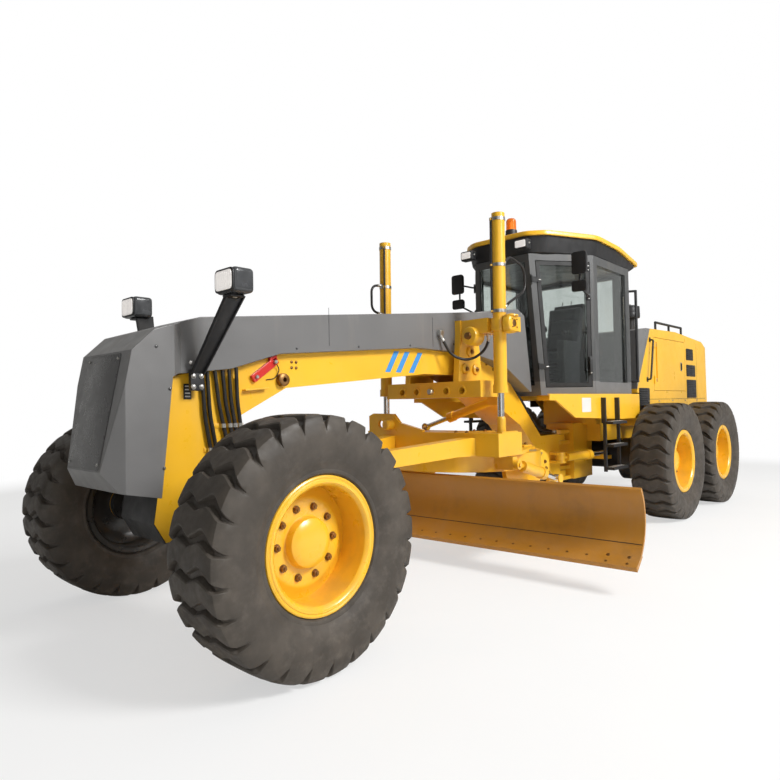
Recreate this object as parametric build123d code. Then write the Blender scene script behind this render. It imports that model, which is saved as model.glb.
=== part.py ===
from build123d import *
import os
from math import atan2, cos, degrees, hypot, pi, radians, sin

# Motor grader at full size, in millimetres.
# +X forward, +Y to the machine's left, +Z up, origin on the ground under the middle of the whole box.
# Stations along the machine are given as a distance behind the front axle, and station() turns one into x.

# ---------------------------------------------------------------- driving dimensions
FRONT_AXLE_X = 3768.0
WHEELBASE = 6219.0            # front axle to the middle of the tandem
TANDEM_SPACING = 1538.0       # between the two rear wheels of one side
TRACK = 2155.0                # between the middle planes of left and right tyres
TYRE_D = 1348.0               # 17.5-25
TYRE_W = 445.0
RIM_R = 317.0                 # bead seat
RIM_FLANGE_R = 358.0
RIM_W = 360.0

RUN = 0.1                     # radial running clearance of a pin in its hole
SEAT = 0.3                    # gap of a seated cover, pane or tyre
SLIDE = 0.8                   # gap of greased slides

BEAM_HALF = 200.0             # half width of the front frame's beam
COVER_HALF = 262.0            # half width of the grey cover over the beam
NOSE_HALF = 345.0
SCUTTLE_HALF = 395.0         # half width of the cover just ahead of the cab
PIVOT_BACK = 4700.0           # articulation pivot
LEAN_Y, LEAN_Z = 700.0, 640.0     # wheel lean pivots
KINGPIN_Y = 815.0
LEAN_BAR_Z = 930.0
STEER_ARM = 330.0             # kingpin to tie rod ball
TIE_ROD_Z = 494.0
ARM_LOW, ARM_HIGH = 526.0, 556.0

DRAWBAR_BALL_BACK, DRAWBAR_BALL_Z = 350.0, 870.0
LIFT_BACK, LIFT_Y = 2524.0, 690.0     # lift cylinders
LIFT_TRUNNION_Z, LIFT_TOP_Z, LIFT_BOTTOM_Z, LIFT_BALL_Z = 2070.0, 3054.0, 1470.0, 1087.0
CIRCLE_BACK, CIRCLE_R, CIRCLE_TOP_Z, CIRCLE_H = 2900.0, 740.0, 925.0, 145.0
BLADE_LENGTH, BLADE_YAW, BLADE_SHIFT = 3960.0, 3.5, -75.0
TILT_PIVOT = (150.0, 400.0)           # x from the circle's middle, z

DECK_Z = 1455.0               # top of the cab platform
CAB_FLOOR_Z, CAB_TOP_Z, CAB_WALL = 1500.0, 2950.0, 60.0
CAB_FRONT_BACK, CAB_FRONT_HALF = 3640.0, 430.0
CAB_POST_BACK, CAB_HALF = 4240.0, 770.0
CAB_REAR_BACK, CAB_REAR_HALF = 5250.0, 740.0
HOOD_FRONT_BACK, HOOD_REAR_BACK, HOOD_HALF, HOOD_SKIN = 5400.0, 8090.0, 750.0, 40.0
HOOD_BOTTOM_Z, HOOD_TOP_Z = 1290.0, 2270.0
TAIL_BACK = 8250.0


def station(back):
    """x of a place that lies this far behind the front axle."""
    return FRONT_AXLE_X - back


WHEEL_Z = TYRE_D / 2
HALF_TRACK = TRACK / 2
TANDEM_BACK = WHEELBASE
PIVOT_X = station(PIVOT_BACK)
CIRCLE_X = station(CIRCLE_BACK)
TYRE_IN = HALF_TRACK - TYRE_W / 2


# ---------------------------------------------------------------- shape helpers
def block(x0, x1, y0, y1, z0, z1):
    """A box between two corners, given in any order."""
    lows = [min(x0, x1), min(y0, y1), min(z0, z1)]
    return Solid.make_box(abs(x1 - x0), abs(y1 - y0), abs(z1 - z0), Plane(origin=lows))


def prism(points, axis, low, high):
    """A flat outline pushed along one axis: (x, z) along y, (y, z) along x, (x, y) along z."""
    place = {
        "x": lambda a, b: (low, a, b),
        "y": lambda a, b: (a, low, b),
        "z": lambda a, b: (a, b, low),
    }[axis]
    push = {"x": (high - low, 0, 0), "y": (0, high - low, 0), "z": (0, 0, high - low)}[axis]
    face = Face(Wire.make_polygon([place(*point) for point in points], close=True))
    return Solid.extrude(face, Vector(*push))


def side(points, low, high):
    """A side outline of (distance behind the front axle, z), pushed across from y low to y high."""
    return prism([(station(back), z) for back, z in points], "y", low, high)


def bar(start, end, radius):
    """A round bar between two points."""
    start, end = Vector(*start), Vector(*end)
    plane = Plane(origin=start, z_dir=end - start)
    return Solid.make_cylinder(radius, (end - start).length, plane)


def hose(points, bends, radius):
    """A round hose of straight runs joined by tangent arcs with the given bend radii."""
    route = FilletPolyline(*points, radius=bends)
    return sweep(Plane(origin=route @ 0, z_dir=route % 0) * Circle(radius), path=route)


def turned(profile, centre, axis):
    """A closed outline of (distance along the axis, radius), turned about that axis through centre."""
    plane = Plane(origin=centre, x_dir=axis, z_dir=Vector(*axis).cross(Vector(0, 0, 1)))
    sign = 1 if plane.y_dir.Z > 0 else -1
    points = [plane.from_local_coords((along, sign * radius, 0)) for along, radius in profile]
    face = Face(Wire.make_polygon(points, close=True))
    return Solid.revolve(face, 360, Axis(centre, axis))


def fuse(*shapes):
    """One shape from several that touch or cross."""
    return Part() + list(shapes)


def mirrored(shape):
    """The same shape on the machine's other side."""
    return shape.mirror(Plane.XZ)


def both(shape):
    """A shape and its mirror image."""
    return [shape, mirrored(shape)]


def along(start, end, distance):
    """The point this far from start towards end."""
    start, end = Vector(*start), Vector(*end)
    return tuple(start + (end - start).normalized() * distance)


def save(name, *shapes):
    """Write the solids of one named piece."""
    solids = [solid for shape in shapes for solid in shape.solids()]
    export_step(solids[0] if len(solids) == 1 else Compound(children=solids), f"parts/{name}.step")


os.makedirs("parts", exist_ok=True)


# ---------------------------------------------------------------- hydraulic cylinders
def cylinder_barrel(base, eye, start, length, radius, rod_radius):
    """A barrel on a neck from its base pin, bored for the rod, with a gland at its end."""
    head = along(base, eye, start + length)
    body = bar(along(base, eye, start), head, radius)
    if start:
        body = fuse(body, bar(base, along(base, eye, start + 5), radius * 0.45))
    gland = bar(along(base, eye, start + length - 70), head, radius + 8)
    bore = bar(along(base, eye, start + 25), along(base, eye, start + length + 1), rod_radius + RUN)
    return fuse(body, gland) - bore


def cylinder_rod(base, eye, inner, neck, radius):
    """A rod from inside the barrel to just short of its eye."""
    length = (Vector(*eye) - Vector(*base)).length
    return bar(along(base, eye, inner), along(base, eye, length - neck), radius)


def eye_ring(centre, axis, radius, width, hole):
    """An eye round a pin: a short thick ring, or a boss where the hole is 0."""
    axis = Vector(*axis).normalized()
    start, end = Vector(*centre) - axis * (width / 2), Vector(*centre) + axis * (width / 2)
    ring = bar(tuple(start), tuple(end), radius)
    return ring - bar(tuple(start - axis), tuple(end + axis), hole) if hole else ring


# ---------------------------------------------------------------- wheels
def wheel(name, x, sign, bore):
    """A tyre and its rim with the hub, on the left for sign 1 and on the right for sign -1."""
    centre, out = (x, sign * HALF_TRACK, WHEEL_Z), (0, sign, 0)
    half, crown = TYRE_W / 2, TYRE_D / 2
    rim_half = RIM_W / 2
    bead = rim_half - 14 - SEAT
    inner = RIM_R + SEAT
    outer_line = [(-bead, inner), (-bead, 372), (-half, 455), (-half, 560), (-half + 16, 625), (-half + 50, crown)]
    inner_line = [(half - 60, crown - 60), (half - 40, 560), (half - 40, 460), (bead - 30, 385), (bead - 30, inner)]
    mirror_line = [(-along_y, radius) for along_y, radius in reversed(outer_line)]
    hollow = inner_line + [(-along_y, radius) for along_y, radius in reversed(inner_line)]
    tyre = turned(outer_line + mirror_line, centre, out) - turned(hollow, centre, out)
    save(f"{name}_tyre", tyre)

    flange, wall = 14, 14
    barrel = [
        (-rim_half, RIM_R - wall), (-rim_half, RIM_FLANGE_R), (-rim_half + flange, RIM_FLANGE_R),
        (-rim_half + flange, RIM_R), (rim_half - flange, RIM_R), (rim_half - flange, RIM_FLANGE_R),
        (rim_half, RIM_FLANGE_R), (rim_half, RIM_R - wall),
    ]
    dish = [(20, 120), (20, 235), (-5, RIM_R - wall + 1), (-25, RIM_R - wall + 1), (2, 225), (2, 120)]
    hub = [(-70, bore + RUN), (-70, 130), (60, 130), (95, 105), (95, 0), (45, 0), (45, bore + RUN)]
    rim = fuse(turned(barrel, centre, out), turned(dish, centre, out), turned(hub, centre, out))
    save(f"{name}_rim", rim)


SPINDLE_R, AXLE_SHAFT_R = 62.0, 75.0
for side_name, sign in (("left", 1), ("right", -1)):
    wheel(f"front_{side_name}", FRONT_AXLE_X, sign, SPINDLE_R)
    wheel(f"middle_{side_name}", station(TANDEM_BACK - TANDEM_SPACING / 2), sign, AXLE_SHAFT_R)
    wheel(f"rear_{side_name}", station(TANDEM_BACK + TANDEM_SPACING / 2), sign, AXLE_SHAFT_R)


# ---------------------------------------------------------------- front axle, lean and steering
AXLE_HALF_X, EAR_GAP, EAR = 110.0, 60.0, 60.0
LEAN_PIN_R, KING_R = 35.0, 40.0
AXLE_BOTTOM_Z, AXLE_TOP_Z = 590.0, 760.0


def front_axle():
    """The beam between the lean pivots, with an oscillation hub in its middle and a fork at each end."""
    beam = prism(
        [(-640, 590), (-200, 600), (200, 600), (640, 590), (640, 690), (200, 790), (-200, 790), (-640, 690)],
        "x", FRONT_AXLE_X - AXLE_HALF_X, FRONT_AXLE_X + AXLE_HALF_X)
    hub = bar((FRONT_AXLE_X - 128, 0, 700), (FRONT_AXLE_X + 128, 0, 700), 125)
    shape = fuse(beam, hub) - bar((FRONT_AXLE_X - 200, 0, 700), (FRONT_AXLE_X + 200, 0, 700), 45 + RUN)
    for sign in (1, -1):
        end = bar((FRONT_AXLE_X - AXLE_HALF_X, sign * LEAN_Y, LEAN_Z),
                  (FRONT_AXLE_X + AXLE_HALF_X, sign * LEAN_Y, LEAN_Z), EAR)
        arm = block(FRONT_AXLE_X - AXLE_HALF_X, FRONT_AXLE_X + AXLE_HALF_X, sign * 600, sign * LEAN_Y, 590, 690)
        shape = fuse(shape, end, arm)
        slot = block(FRONT_AXLE_X - EAR_GAP, FRONT_AXLE_X + EAR_GAP, sign * 610, sign * 800, 500, 800)
        hole = bar((FRONT_AXLE_X - 200, sign * LEAN_Y, LEAN_Z), (FRONT_AXLE_X + 200, sign * LEAN_Y, LEAN_Z),
                   LEAN_PIN_R + RUN)
        shape = shape - slot - hole
    return shape


def lean_knuckle():
    """The left casting that leans with the wheel: pin, post for the lean bar, and two lugs for the kingpin."""
    half = EAR_GAP - 5
    post = prism([(LEAN_Y - 30, 590), (LEAN_Y + 40, 565), (LEAN_Y + 40, 800), (LEAN_Y + 25, LEAN_BAR_Z),
                  (LEAN_Y - 25, LEAN_BAR_Z), (LEAN_Y - 40, 700)],
                 "x", FRONT_AXLE_X - 28, FRONT_AXLE_X + 28)
    core = prism([(LEAN_Y - 45, 600), (LEAN_Y, 560), (LEAN_Y + 42, 560), (LEAN_Y + 42, 805), (LEAN_Y, 805),
                  (LEAN_Y - 45, 700)], "x", FRONT_AXLE_X - half, FRONT_AXLE_X + half)
    pin = bar((FRONT_AXLE_X - AXLE_HALF_X - 8, LEAN_Y, LEAN_Z), (FRONT_AXLE_X + AXLE_HALF_X + 8, LEAN_Y, LEAN_Z),
              LEAN_PIN_R)
    top_eye = bar((FRONT_AXLE_X - 28, LEAN_Y, LEAN_BAR_Z), (FRONT_AXLE_X + 28, LEAN_Y, LEAN_BAR_Z), 40)
    shape = fuse(post, core, pin, top_eye)
    for low, high in ((560, 600), (765, 805)):
        lug = block(FRONT_AXLE_X - half, FRONT_AXLE_X + half, LEAN_Y + 30, KINGPIN_Y, low, high)
        nose = bar((FRONT_AXLE_X, KINGPIN_Y, low), (FRONT_AXLE_X, KINGPIN_Y, high), half)
        shape = fuse(shape, lug, nose)
    shape = shape - bar((FRONT_AXLE_X, KINGPIN_Y, 500), (FRONT_AXLE_X, KINGPIN_Y, 900), KING_R + RUN)
    return shape - bar((FRONT_AXLE_X - 60, LEAN_Y, LEAN_BAR_Z), (FRONT_AXLE_X + 60, LEAN_Y, LEAN_BAR_Z), 20 + RUN)


def steering_knuckle():
    """The left knuckle: kingpin, boss, wheel spindle and the arm back to the tie rod."""
    boss = bar((FRONT_AXLE_X, KINGPIN_Y, 602), (FRONT_AXLE_X, KINGPIN_Y, 763), 68)
    kingpin = bar((FRONT_AXLE_X, KINGPIN_Y, 505), (FRONT_AXLE_X, KINGPIN_Y, 815), KING_R)
    spindle = bar((FRONT_AXLE_X, KINGPIN_Y, WHEEL_Z), (FRONT_AXLE_X, HALF_TRACK + 40, WHEEL_Z), SPINDLE_R)
    collar = bar((FRONT_AXLE_X, KINGPIN_Y, WHEEL_Z), (FRONT_AXLE_X, HALF_TRACK - 75, WHEEL_Z), 69)
    arm_end = FRONT_AXLE_X - STEER_ARM
    arm = prism([(FRONT_AXLE_X + 50, KINGPIN_Y - 50), (FRONT_AXLE_X + 50, KINGPIN_Y + 35),
                 (FRONT_AXLE_X - 120, KINGPIN_Y + 35), (arm_end, KINGPIN_Y + 32), (arm_end, KINGPIN_Y - 32),
                 (FRONT_AXLE_X - 120, KINGPIN_Y - 45)], "z", ARM_LOW, ARM_HIGH)
    end = bar((arm_end, KINGPIN_Y, ARM_LOW), (arm_end, KINGPIN_Y, ARM_HIGH), 38)
    stud = bar((arm_end, KINGPIN_Y, TIE_ROD_Z - 34), (arm_end, KINGPIN_Y, ARM_LOW + 5), 16)
    return fuse(boss, kingpin, spindle, collar, arm, end, stud)


save("front_axle", front_axle())
knuckle, lean = steering_knuckle(), lean_knuckle()
save("lean_knuckle_left", lean)
save("lean_knuckle_right", mirrored(lean))
save("steering_knuckle_left", knuckle)
save("steering_knuckle_right", mirrored(knuckle))


def lean_bar():
    """The bar that makes both wheels lean alike, with a fork round each knuckle's post."""
    x = FRONT_AXLE_X
    shape = bar((x, -LEAN_Y + 75, LEAN_BAR_Z), (x, LEAN_Y - 75, LEAN_BAR_Z), 26)
    for sign in (1, -1):
        fork = block(x - 52, x + 52, sign * (LEAN_Y - 110), sign * LEAN_Y, LEAN_BAR_Z - 26, LEAN_BAR_Z + 26)
        round_end = bar((x - 52, sign * LEAN_Y, LEAN_BAR_Z), (x + 52, sign * LEAN_Y, LEAN_BAR_Z), 34)
        slot = block(x - 30, x + 30, sign * (LEAN_Y - 62), sign * (LEAN_Y + 50), LEAN_BAR_Z - 60, LEAN_BAR_Z + 60)
        shape = fuse(shape, fork, round_end) - slot
    left_pin = bar((x - 60, LEAN_Y, LEAN_BAR_Z), (x + 60, LEAN_Y, LEAN_BAR_Z), 20)
    return fuse(shape, left_pin)


save("lean_bar", lean_bar())

TIE_X = FRONT_AXLE_X - STEER_ARM
TIE_CROSS_Y = KINGPIN_Y - 75
TIE_ROD_R = 18.0


def tie_rod_end():
    """The left ball end: a socket on the steering arm's stud, and a cross pin that lets the rod stay level."""
    socket = bar((TIE_X, KINGPIN_Y, TIE_ROD_Z - 12), (TIE_X, KINGPIN_Y, ARM_LOW - 5), 36)
    tongue = block(TIE_X - 12, TIE_X + 12, TIE_CROSS_Y, KINGPIN_Y - 20, TIE_ROD_Z - 12, TIE_ROD_Z + 12)
    cross = bar((TIE_X - 34, TIE_CROSS_Y, TIE_ROD_Z), (TIE_X + 34, TIE_CROSS_Y, TIE_ROD_Z), 12)
    return fuse(socket, tongue, cross) - bar((TIE_X, KINGPIN_Y, 400), (TIE_X, KINGPIN_Y, 600), 16 + RUN)


def tie_rod():
    """The rod between the steering arms, forked on the left and with an open eye on the right."""
    cross = ((TIE_X - 34, TIE_CROSS_Y, TIE_ROD_Z), (TIE_X + 34, TIE_CROSS_Y, TIE_ROD_Z))
    fork = fuse(block(TIE_X - 34, TIE_X + 34, TIE_CROSS_Y - 75, TIE_CROSS_Y, TIE_ROD_Z - 18, TIE_ROD_Z + 18),
                bar(*cross, 18))
    fork = fork - block(TIE_X - 16, TIE_X + 16, TIE_CROSS_Y - 30, KINGPIN_Y, 460, 530)
    fork = fork - bar(*cross, 12 + RUN)
    tube = bar((TIE_X, -KINGPIN_Y + 40, TIE_ROD_Z), (TIE_X, TIE_CROSS_Y - 65, TIE_ROD_Z), TIE_ROD_R)
    eye = bar((TIE_X, -KINGPIN_Y, TIE_ROD_Z - 12), (TIE_X, -KINGPIN_Y, TIE_ROD_Z + 12), 48)
    return fuse(fork, tube, eye) - bar((TIE_X, -KINGPIN_Y, 400), (TIE_X, -KINGPIN_Y, 600), 31)


save("tie_rod_end", tie_rod_end())
save("tie_rod", tie_rod())


# ---------------------------------------------------------------- front frame
HEAD_HALF = 215.0
LUG_R, PIVOT_PIN_R = 130.0, 60.0
UPPER_LUG, LOWER_LUG = (925.0, 995.0), (500.0, 570.0)
ART_FRONT = (4300.0, 300.0)
ART_REAR = (5200.0, 420.0)
ART_Z = 755.0

BEAM_TOP = [(-60, 1640), (484, 1760), (1918, 1880), (2861, 1900), (3330, 1720)]
BEAM_BOTTOM = [(3248, 1332), (2950, 1520), (2600, 1652), (2077, 1650), (568, 1516), (191, 1331)]


def front_frame():
    """The gooseneck: head over the axle, arched box beam, sloped legs and the articulation lugs."""
    beam = side(BEAM_TOP + [(3462, 1536), (3450, 1340)] + BEAM_BOTTOM + [(150, 1250), (-300, 1300), (-275, 1578)],
                -BEAM_HALF, BEAM_HALF)
    head = side([(-275, 1578), (-400, 720), (-330, 600), (190, 600), (191, 1331), (191, 1560), (-60, 1640)],
                -HEAD_HALF, HEAD_HALF)
    arch = block(FRONT_AXLE_X - 135, FRONT_AXLE_X + 135, -400, 400, 500, 985)
    legs = side([(3248, 1332), (3621, 1146), (4366, 490), (4470, 490), (4470, 1010), (4046, 1010), (3330, 1700)],
                -BEAM_HALF, BEAM_HALF)
    shape = fuse(beam, head, legs) - arch
    for low, high in (UPPER_LUG, LOWER_LUG):
        lug = fuse(block(PIVOT_X, station(4400), -LUG_R, LUG_R, low, high),
                   bar((PIVOT_X, 0, low), (PIVOT_X, 0, high), LUG_R))
        shape = fuse(shape, lug)
    shape = shape - bar((PIVOT_X, 0, 400), (PIVOT_X, 0, 1100), PIVOT_PIN_R + RUN)
    oscillation = bar((FRONT_AXLE_X - 160, 0, 700), (FRONT_AXLE_X + 160, 0, 700), 45)
    shape = fuse(shape, oscillation)
    for sign in (1, -1):
        for low, high in ((ART_Z - 60, ART_Z - 33), (ART_Z + 33, ART_Z + 60)):
            ear = fuse(block(station(ART_FRONT[0] - 70), station(ART_FRONT[0] + 50), sign * 150,
                             sign * ART_FRONT[1], low, high),
                       bar((station(ART_FRONT[0]), sign * ART_FRONT[1], low),
                           (station(ART_FRONT[0]), sign * ART_FRONT[1], high), 55))
            shape = fuse(shape, ear)
        shape = fuse(shape, bar((station(ART_FRONT[0]), sign * ART_FRONT[1], ART_Z - 60),
                                (station(ART_FRONT[0]), sign * ART_FRONT[1], ART_Z + 60), 25))
        ball_ear = side([(185, 780), (185, 960), (DRAWBAR_BALL_BACK, 935), (DRAWBAR_BALL_BACK + 55, 890),
                         (DRAWBAR_BALL_BACK + 55, 850), (DRAWBAR_BALL_BACK, 810)],
                        min(sign * 62, sign * 95), max(sign * 62, sign * 95))
        shape = fuse(shape, ball_ear)
    pin = bar((station(DRAWBAR_BALL_BACK), -95, DRAWBAR_BALL_Z), (station(DRAWBAR_BALL_BACK), 95, DRAWBAR_BALL_Z), 28)
    return fuse(shape, pin)


save("front_frame", front_frame())


def nose_cover():
    """The grey faceted nose and the long cover over the beam, one inverted trough."""
    outline = side(
        [(-715, 1045), (-580, 1716), (-450, 1840), (-115, 1946), (2242, 2197), (2861, 2266), (3400, 2335),
         (3520, 2280), (3632, 1494), (3600, 1494), (3171, 1725), (2760, 1850), (1918, 1866), (484, 1747),
         (97, 1633), (-280, 1590), (-339, 1571), (-412, 881), (-640, 930)],
        -NOSE_HALF, NOSE_HALF)
    plan = prism([(station(-720), -230), (station(-615), -NOSE_HALF), (station(-330), -NOSE_HALF),
                  (station(-250), -COVER_HALF), (station(2790), -COVER_HALF), (station(3080), -SCUTTLE_HALF),
                  (station(3800), -SCUTTLE_HALF), (station(3800), SCUTTLE_HALF), (station(3080), SCUTTLE_HALF),
                  (station(2790), COVER_HALF), (station(-250), COVER_HALF),
                  (station(-330), NOSE_HALF), (station(-615), NOSE_HALF), (station(-720), 230)], "z", 800, 2400)
    grown = BEAM_HALF + SEAT
    beam = side([(3462 + 600, 1000), (3330, 1720 + SEAT), (2861, 1900 + SEAT), (1918, 1880 + SEAT), (484, 1760 + SEAT),
                 (-60, 1640 + SEAT), (-275 - SEAT, 1578 + SEAT), (-402, 720), (-400, 500), (3000, 500)], -grown, grown)
    head = side([(-401, 500), (-400 - SEAT, 720), (-275 - SEAT, 1578 + SEAT), (-60, 1640 + SEAT), (191, 1600),
                 (191, 500)], -HEAD_HALF - SEAT, HEAD_HALF + SEAT)
    return (outline & plan) - beam - head


save("nose_cover", nose_cover())


def saddle():
    """The casting round the beam that carries the lift cylinders and the centre shift cylinder."""
    x0, x1 = station(2760), station(2400)
    shape = block(x0, x1, -560, 560, 1440, 1585)
    for sign in (1, -1):
        inner = COVER_HALF + SEAT
        post = side([(2760, 1440), (2400, 1440), (2400, 1600), (2440, 2010), (2440, 2140), (2640, 2140), (2720, 2010),
                     (2760, 1700)], *sorted((sign * inner, sign * (inner + 60))))
        arm = block(station(LIFT_BACK - 70), station(LIFT_BACK + 140), sign * inner, sign * (LIFT_Y - 82),
                    LIFT_TRUNNION_Z - 65, LIFT_TRUNNION_Z + 65)
        back = block(station(LIFT_BACK + 80), station(LIFT_BACK + 140), sign * (LIFT_Y - 100), sign * (LIFT_Y + 125),
                     LIFT_TRUNNION_Z - 65, LIFT_TRUNNION_Z + 65)
        outer = block(station(LIFT_BACK - 70), station(LIFT_BACK + 140), sign * (LIFT_Y + 82), sign * (LIFT_Y + 125),
                      LIFT_TRUNNION_Z - 65, LIFT_TRUNNION_Z + 65)
        hole = bar((station(LIFT_BACK), sign * (LIFT_Y - 160), LIFT_TRUNNION_Z),
                   (station(LIFT_BACK), sign * (LIFT_Y + 200), LIFT_TRUNNION_Z), 32 + RUN)
        shape = fuse(shape, post, arm, back, outer) - hole
    for y in (-360, -180, 0, 180, 360):
        shape = shape - bar((x0 - 10, y, 1500), (x1 + 10, y, 1500), 30)
    ear = block(station(2772), station(2755), 385, 495, 1365, 1540)
    pin = bar((station(2862), SHIFT_BASE[1], SHIFT_BASE[2]), (station(2760), SHIFT_BASE[1], SHIFT_BASE[2]), 26)
    return fuse(shape, ear, pin)


HEAD_HOSES = [          # back and z at the cover, at the middle and at the port block, on the head's left side
    (-98, 1640, -81, 1339, -32, 1064), (-61, 1645, -46, 1350, 6, 1080), (-8, 1655, 20, 1400, 72, 1172),
    (46, 1660, 66, 1410, 117, 1189), (94, 1670, 105, 1420, 150, 1197), (146, 1680, 152, 1430, 184, 1205)]
HEAD_HOSE_Y, HOSE_RADIUS, HOSE_BEND = HEAD_HALF + 22.0, 12.0, 900.0
LOOP = [(2200, 284, 1992), (2290, 330, 1810), (2430, 430, 1760), (2560, 545, 1880), (2560, 545, 2010)]


def hoses():
    """Six clipped hoses on the head's left side with their port blocks, and the hose to the left lift cylinder."""
    cover, frame = nose_cover(), front_frame()
    shapes = []
    for top, top_z, middle, middle_z, low, low_z in HEAD_HOSES:
        points = [(station(top), HEAD_HOSE_Y, top_z), (station(middle), HEAD_HOSE_Y, middle_z),
                  (station(low), HEAD_HOSE_Y, low_z), (station(low + 6), HEAD_HOSE_Y, low_z - 60)]
        port = block(station(low + 25), station(low - 13), HEAD_HALF - 5, HEAD_HOSE_Y + 16, low_z - 92, low_z - 58)
        shapes.append(fuse(hose(points, [HOSE_BEND, 300], HOSE_RADIUS), port) - cover - frame)
    port = block(station(2178), station(2222), COVER_HALF - 5, 304, 1990, 2034)
    feed = hose([(station(back), y, z) for back, y, z in LOOP], [190, 190, 190], HOSE_RADIUS)
    shapes.append(fuse(feed, port) - cover - saddle())
    return shapes


SHIFT_BASE = (station(2830), 440.0, 1420.0)
SHIFT_EYE = (station(2830), -430.0, 1150.0)
save("saddle", saddle())
save("hoses", *hoses())


LINE_RADIUS, LINE_START, LINE_END = 9.0, 40.0, 880.0        # steel line on a lift barrel: radius, ends from the top
LIFT_LOOP = {1: [(2545, 2560), (2700, 2700), (2960, 2640), (2960, 2420), (2700, 2290), (2545, 2190)],
             -1: [(2520, 2618), (2325, 2590), (2325, 2340), (2520, 2300)]}        # back, z of the hose on each barrel
LIFT_LOOP_BENDS = {1: [105, 108, 108, 105], -1: [78, 78]}


def lift_cylinder(sign):
    """Barrel with trunnions, and rod with its ball end, on one side."""
    top = (station(LIFT_BACK + 11), sign * LIFT_Y, LIFT_TOP_Z)
    ball = (station(LIFT_BACK - 12), sign * LIFT_Y, LIFT_BALL_Z)
    length = LIFT_TOP_Z - LIFT_BOTTOM_Z
    barrel = cylinder_barrel(top, ball, 0, length, 58, 30)
    trunnion = bar((station(LIFT_BACK), sign * (LIFT_Y - 125), LIFT_TRUNNION_Z),
                   (station(LIFT_BACK), sign * (LIFT_Y + 122), LIFT_TRUNNION_Z), 32)
    collar = bar((station(LIFT_BACK), sign * LIFT_Y, LIFT_TRUNNION_Z - 55),
                 (station(LIFT_BACK), sign * LIFT_Y, LIFT_TRUNNION_Z + 55), 76)
    bore = bar(along(top, ball, 25), along(top, ball, length + 1), 30 + RUN)
    inward = Vector(0.8, -0.6 * sign, 0) * (58 + LINE_RADIUS + 2)
    line = bar(Vector(*along(top, ball, LINE_START)) + inward, Vector(*along(top, ball, LINE_END)) + inward,
               LINE_RADIUS)
    clips = [bar(along(top, ball, at), Vector(*along(top, ball, at)) + inward * 1.12, 12)
             for at in (LINE_START + 14, (LINE_START + LINE_END) / 2, LINE_END - 14)]
    loop = hose([(station(back), sign * LIFT_Y, z) for back, z in LIFT_LOOP[sign]], LIFT_LOOP_BENDS[sign], 11)
    barrel = fuse(barrel, trunnion, collar, line, *clips, loop) - bore
    rod = cylinder_rod(top, ball, 420, 0, 30)
    eye = eye_ring(ball, (0, 1, 0), 48, 62, 0)
    return barrel, fuse(rod, eye)


for side_name, sign in (("left", 1), ("right", -1)):
    barrel, rod = lift_cylinder(sign)
    save(f"lift_barrel_{side_name}", barrel)
    save(f"lift_rod_{side_name}", rod)


# ---------------------------------------------------------------- drawbar, circle and blade
FLANGE_LOW, FLANGE_HIGH = 840.0, 880.0
CIRCLE_IN, FLANGE_IN = 600.0, 560.0
PLATE_LOW, PLATE_HIGH = 926.0, 956.0
BEAM_LOW, BEAM_HIGH = 958.0, 1125.0


def drawbar():
    """Two tubes from the ball to a cross beam, with the plate and hub that the circle hangs from."""
    ball = (station(DRAWBAR_BALL_BACK), 0, DRAWBAR_BALL_Z)
    eye = eye_ring(ball, (0, 1, 0), 62, 112, 0)
    shape = eye
    for sign in (1, -1):
        tube = prism([(station(DRAWBAR_BALL_BACK), sign * 56), (station(DRAWBAR_BALL_BACK), sign * -5),
                      (station(520), sign * -5), (station(2400), sign * 420), (station(2400), sign * 560),
                      (station(420), sign * 56)], "z", 700, 1200)
        slope = side([(DRAWBAR_BALL_BACK, 815), (520, 815), (2130, 928), (2400, 928), (2400, 1085), (2300, 1085),
                      (DRAWBAR_BALL_BACK, 928)], -600, 600)
        shape = fuse(shape, tube & slope)
    cross = block(station(2700), station(2330), -780, 780, BEAM_LOW, BEAM_HIGH)
    plate = prism([(station(2330), -780), (station(2330), 780), (station(2700), 780), (station(3300), 560),
                   (station(3560), 200), (station(3560), -200), (station(3300), -560), (station(2700), -780)],
                  "z", PLATE_LOW, BEAM_LOW)
    hub = bar((CIRCLE_X, 0, 800), (CIRCLE_X, 0, PLATE_LOW), 500)
    keeper = bar((CIRCLE_X, 0, 800), (CIRCLE_X, 0, FLANGE_LOW - SLIDE), 594)
    shape = fuse(shape, cross, plate, hub, keeper)
    for sign in (1, -1):
        pocket = block(station(LIFT_BACK + 90), station(LIFT_BACK - 110), sign * (LIFT_Y - 62), sign * (LIFT_Y + 62),
                       BEAM_LOW + 30, BEAM_HIGH + 10)
        shape = shape - pocket
    bracket = prism([(-760, BEAM_HIGH - 5), (-760, 1275), (-700, 1300), (-430, 1295), (-350, 1210), (-60, 1145),
                     (-60, BEAM_HIGH - 5)], "x", station(2370), station(2330))
    bracket = bracket - bar((station(2400), -600, 1195), (station(2300), -600, 1195), 38)
    gearbox = bar((station(3300), 0, BEAM_LOW - 1), (station(3300), 0, 1060), 120)
    pin_hole = bar((station(DRAWBAR_BALL_BACK), -100, DRAWBAR_BALL_Z),
                   (station(DRAWBAR_BALL_BACK), 100, DRAWBAR_BALL_Z), 28 + RUN)
    return fuse(shape, bracket, gearbox) - pin_hole


save("drawbar", drawbar())


def yawed(shape):
    """A piece on the circle, turned by the blade's small angle at rest."""
    return shape.rotate(Axis((CIRCLE_X, 0, 0), (0, 0, 1)), BLADE_YAW)


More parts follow.
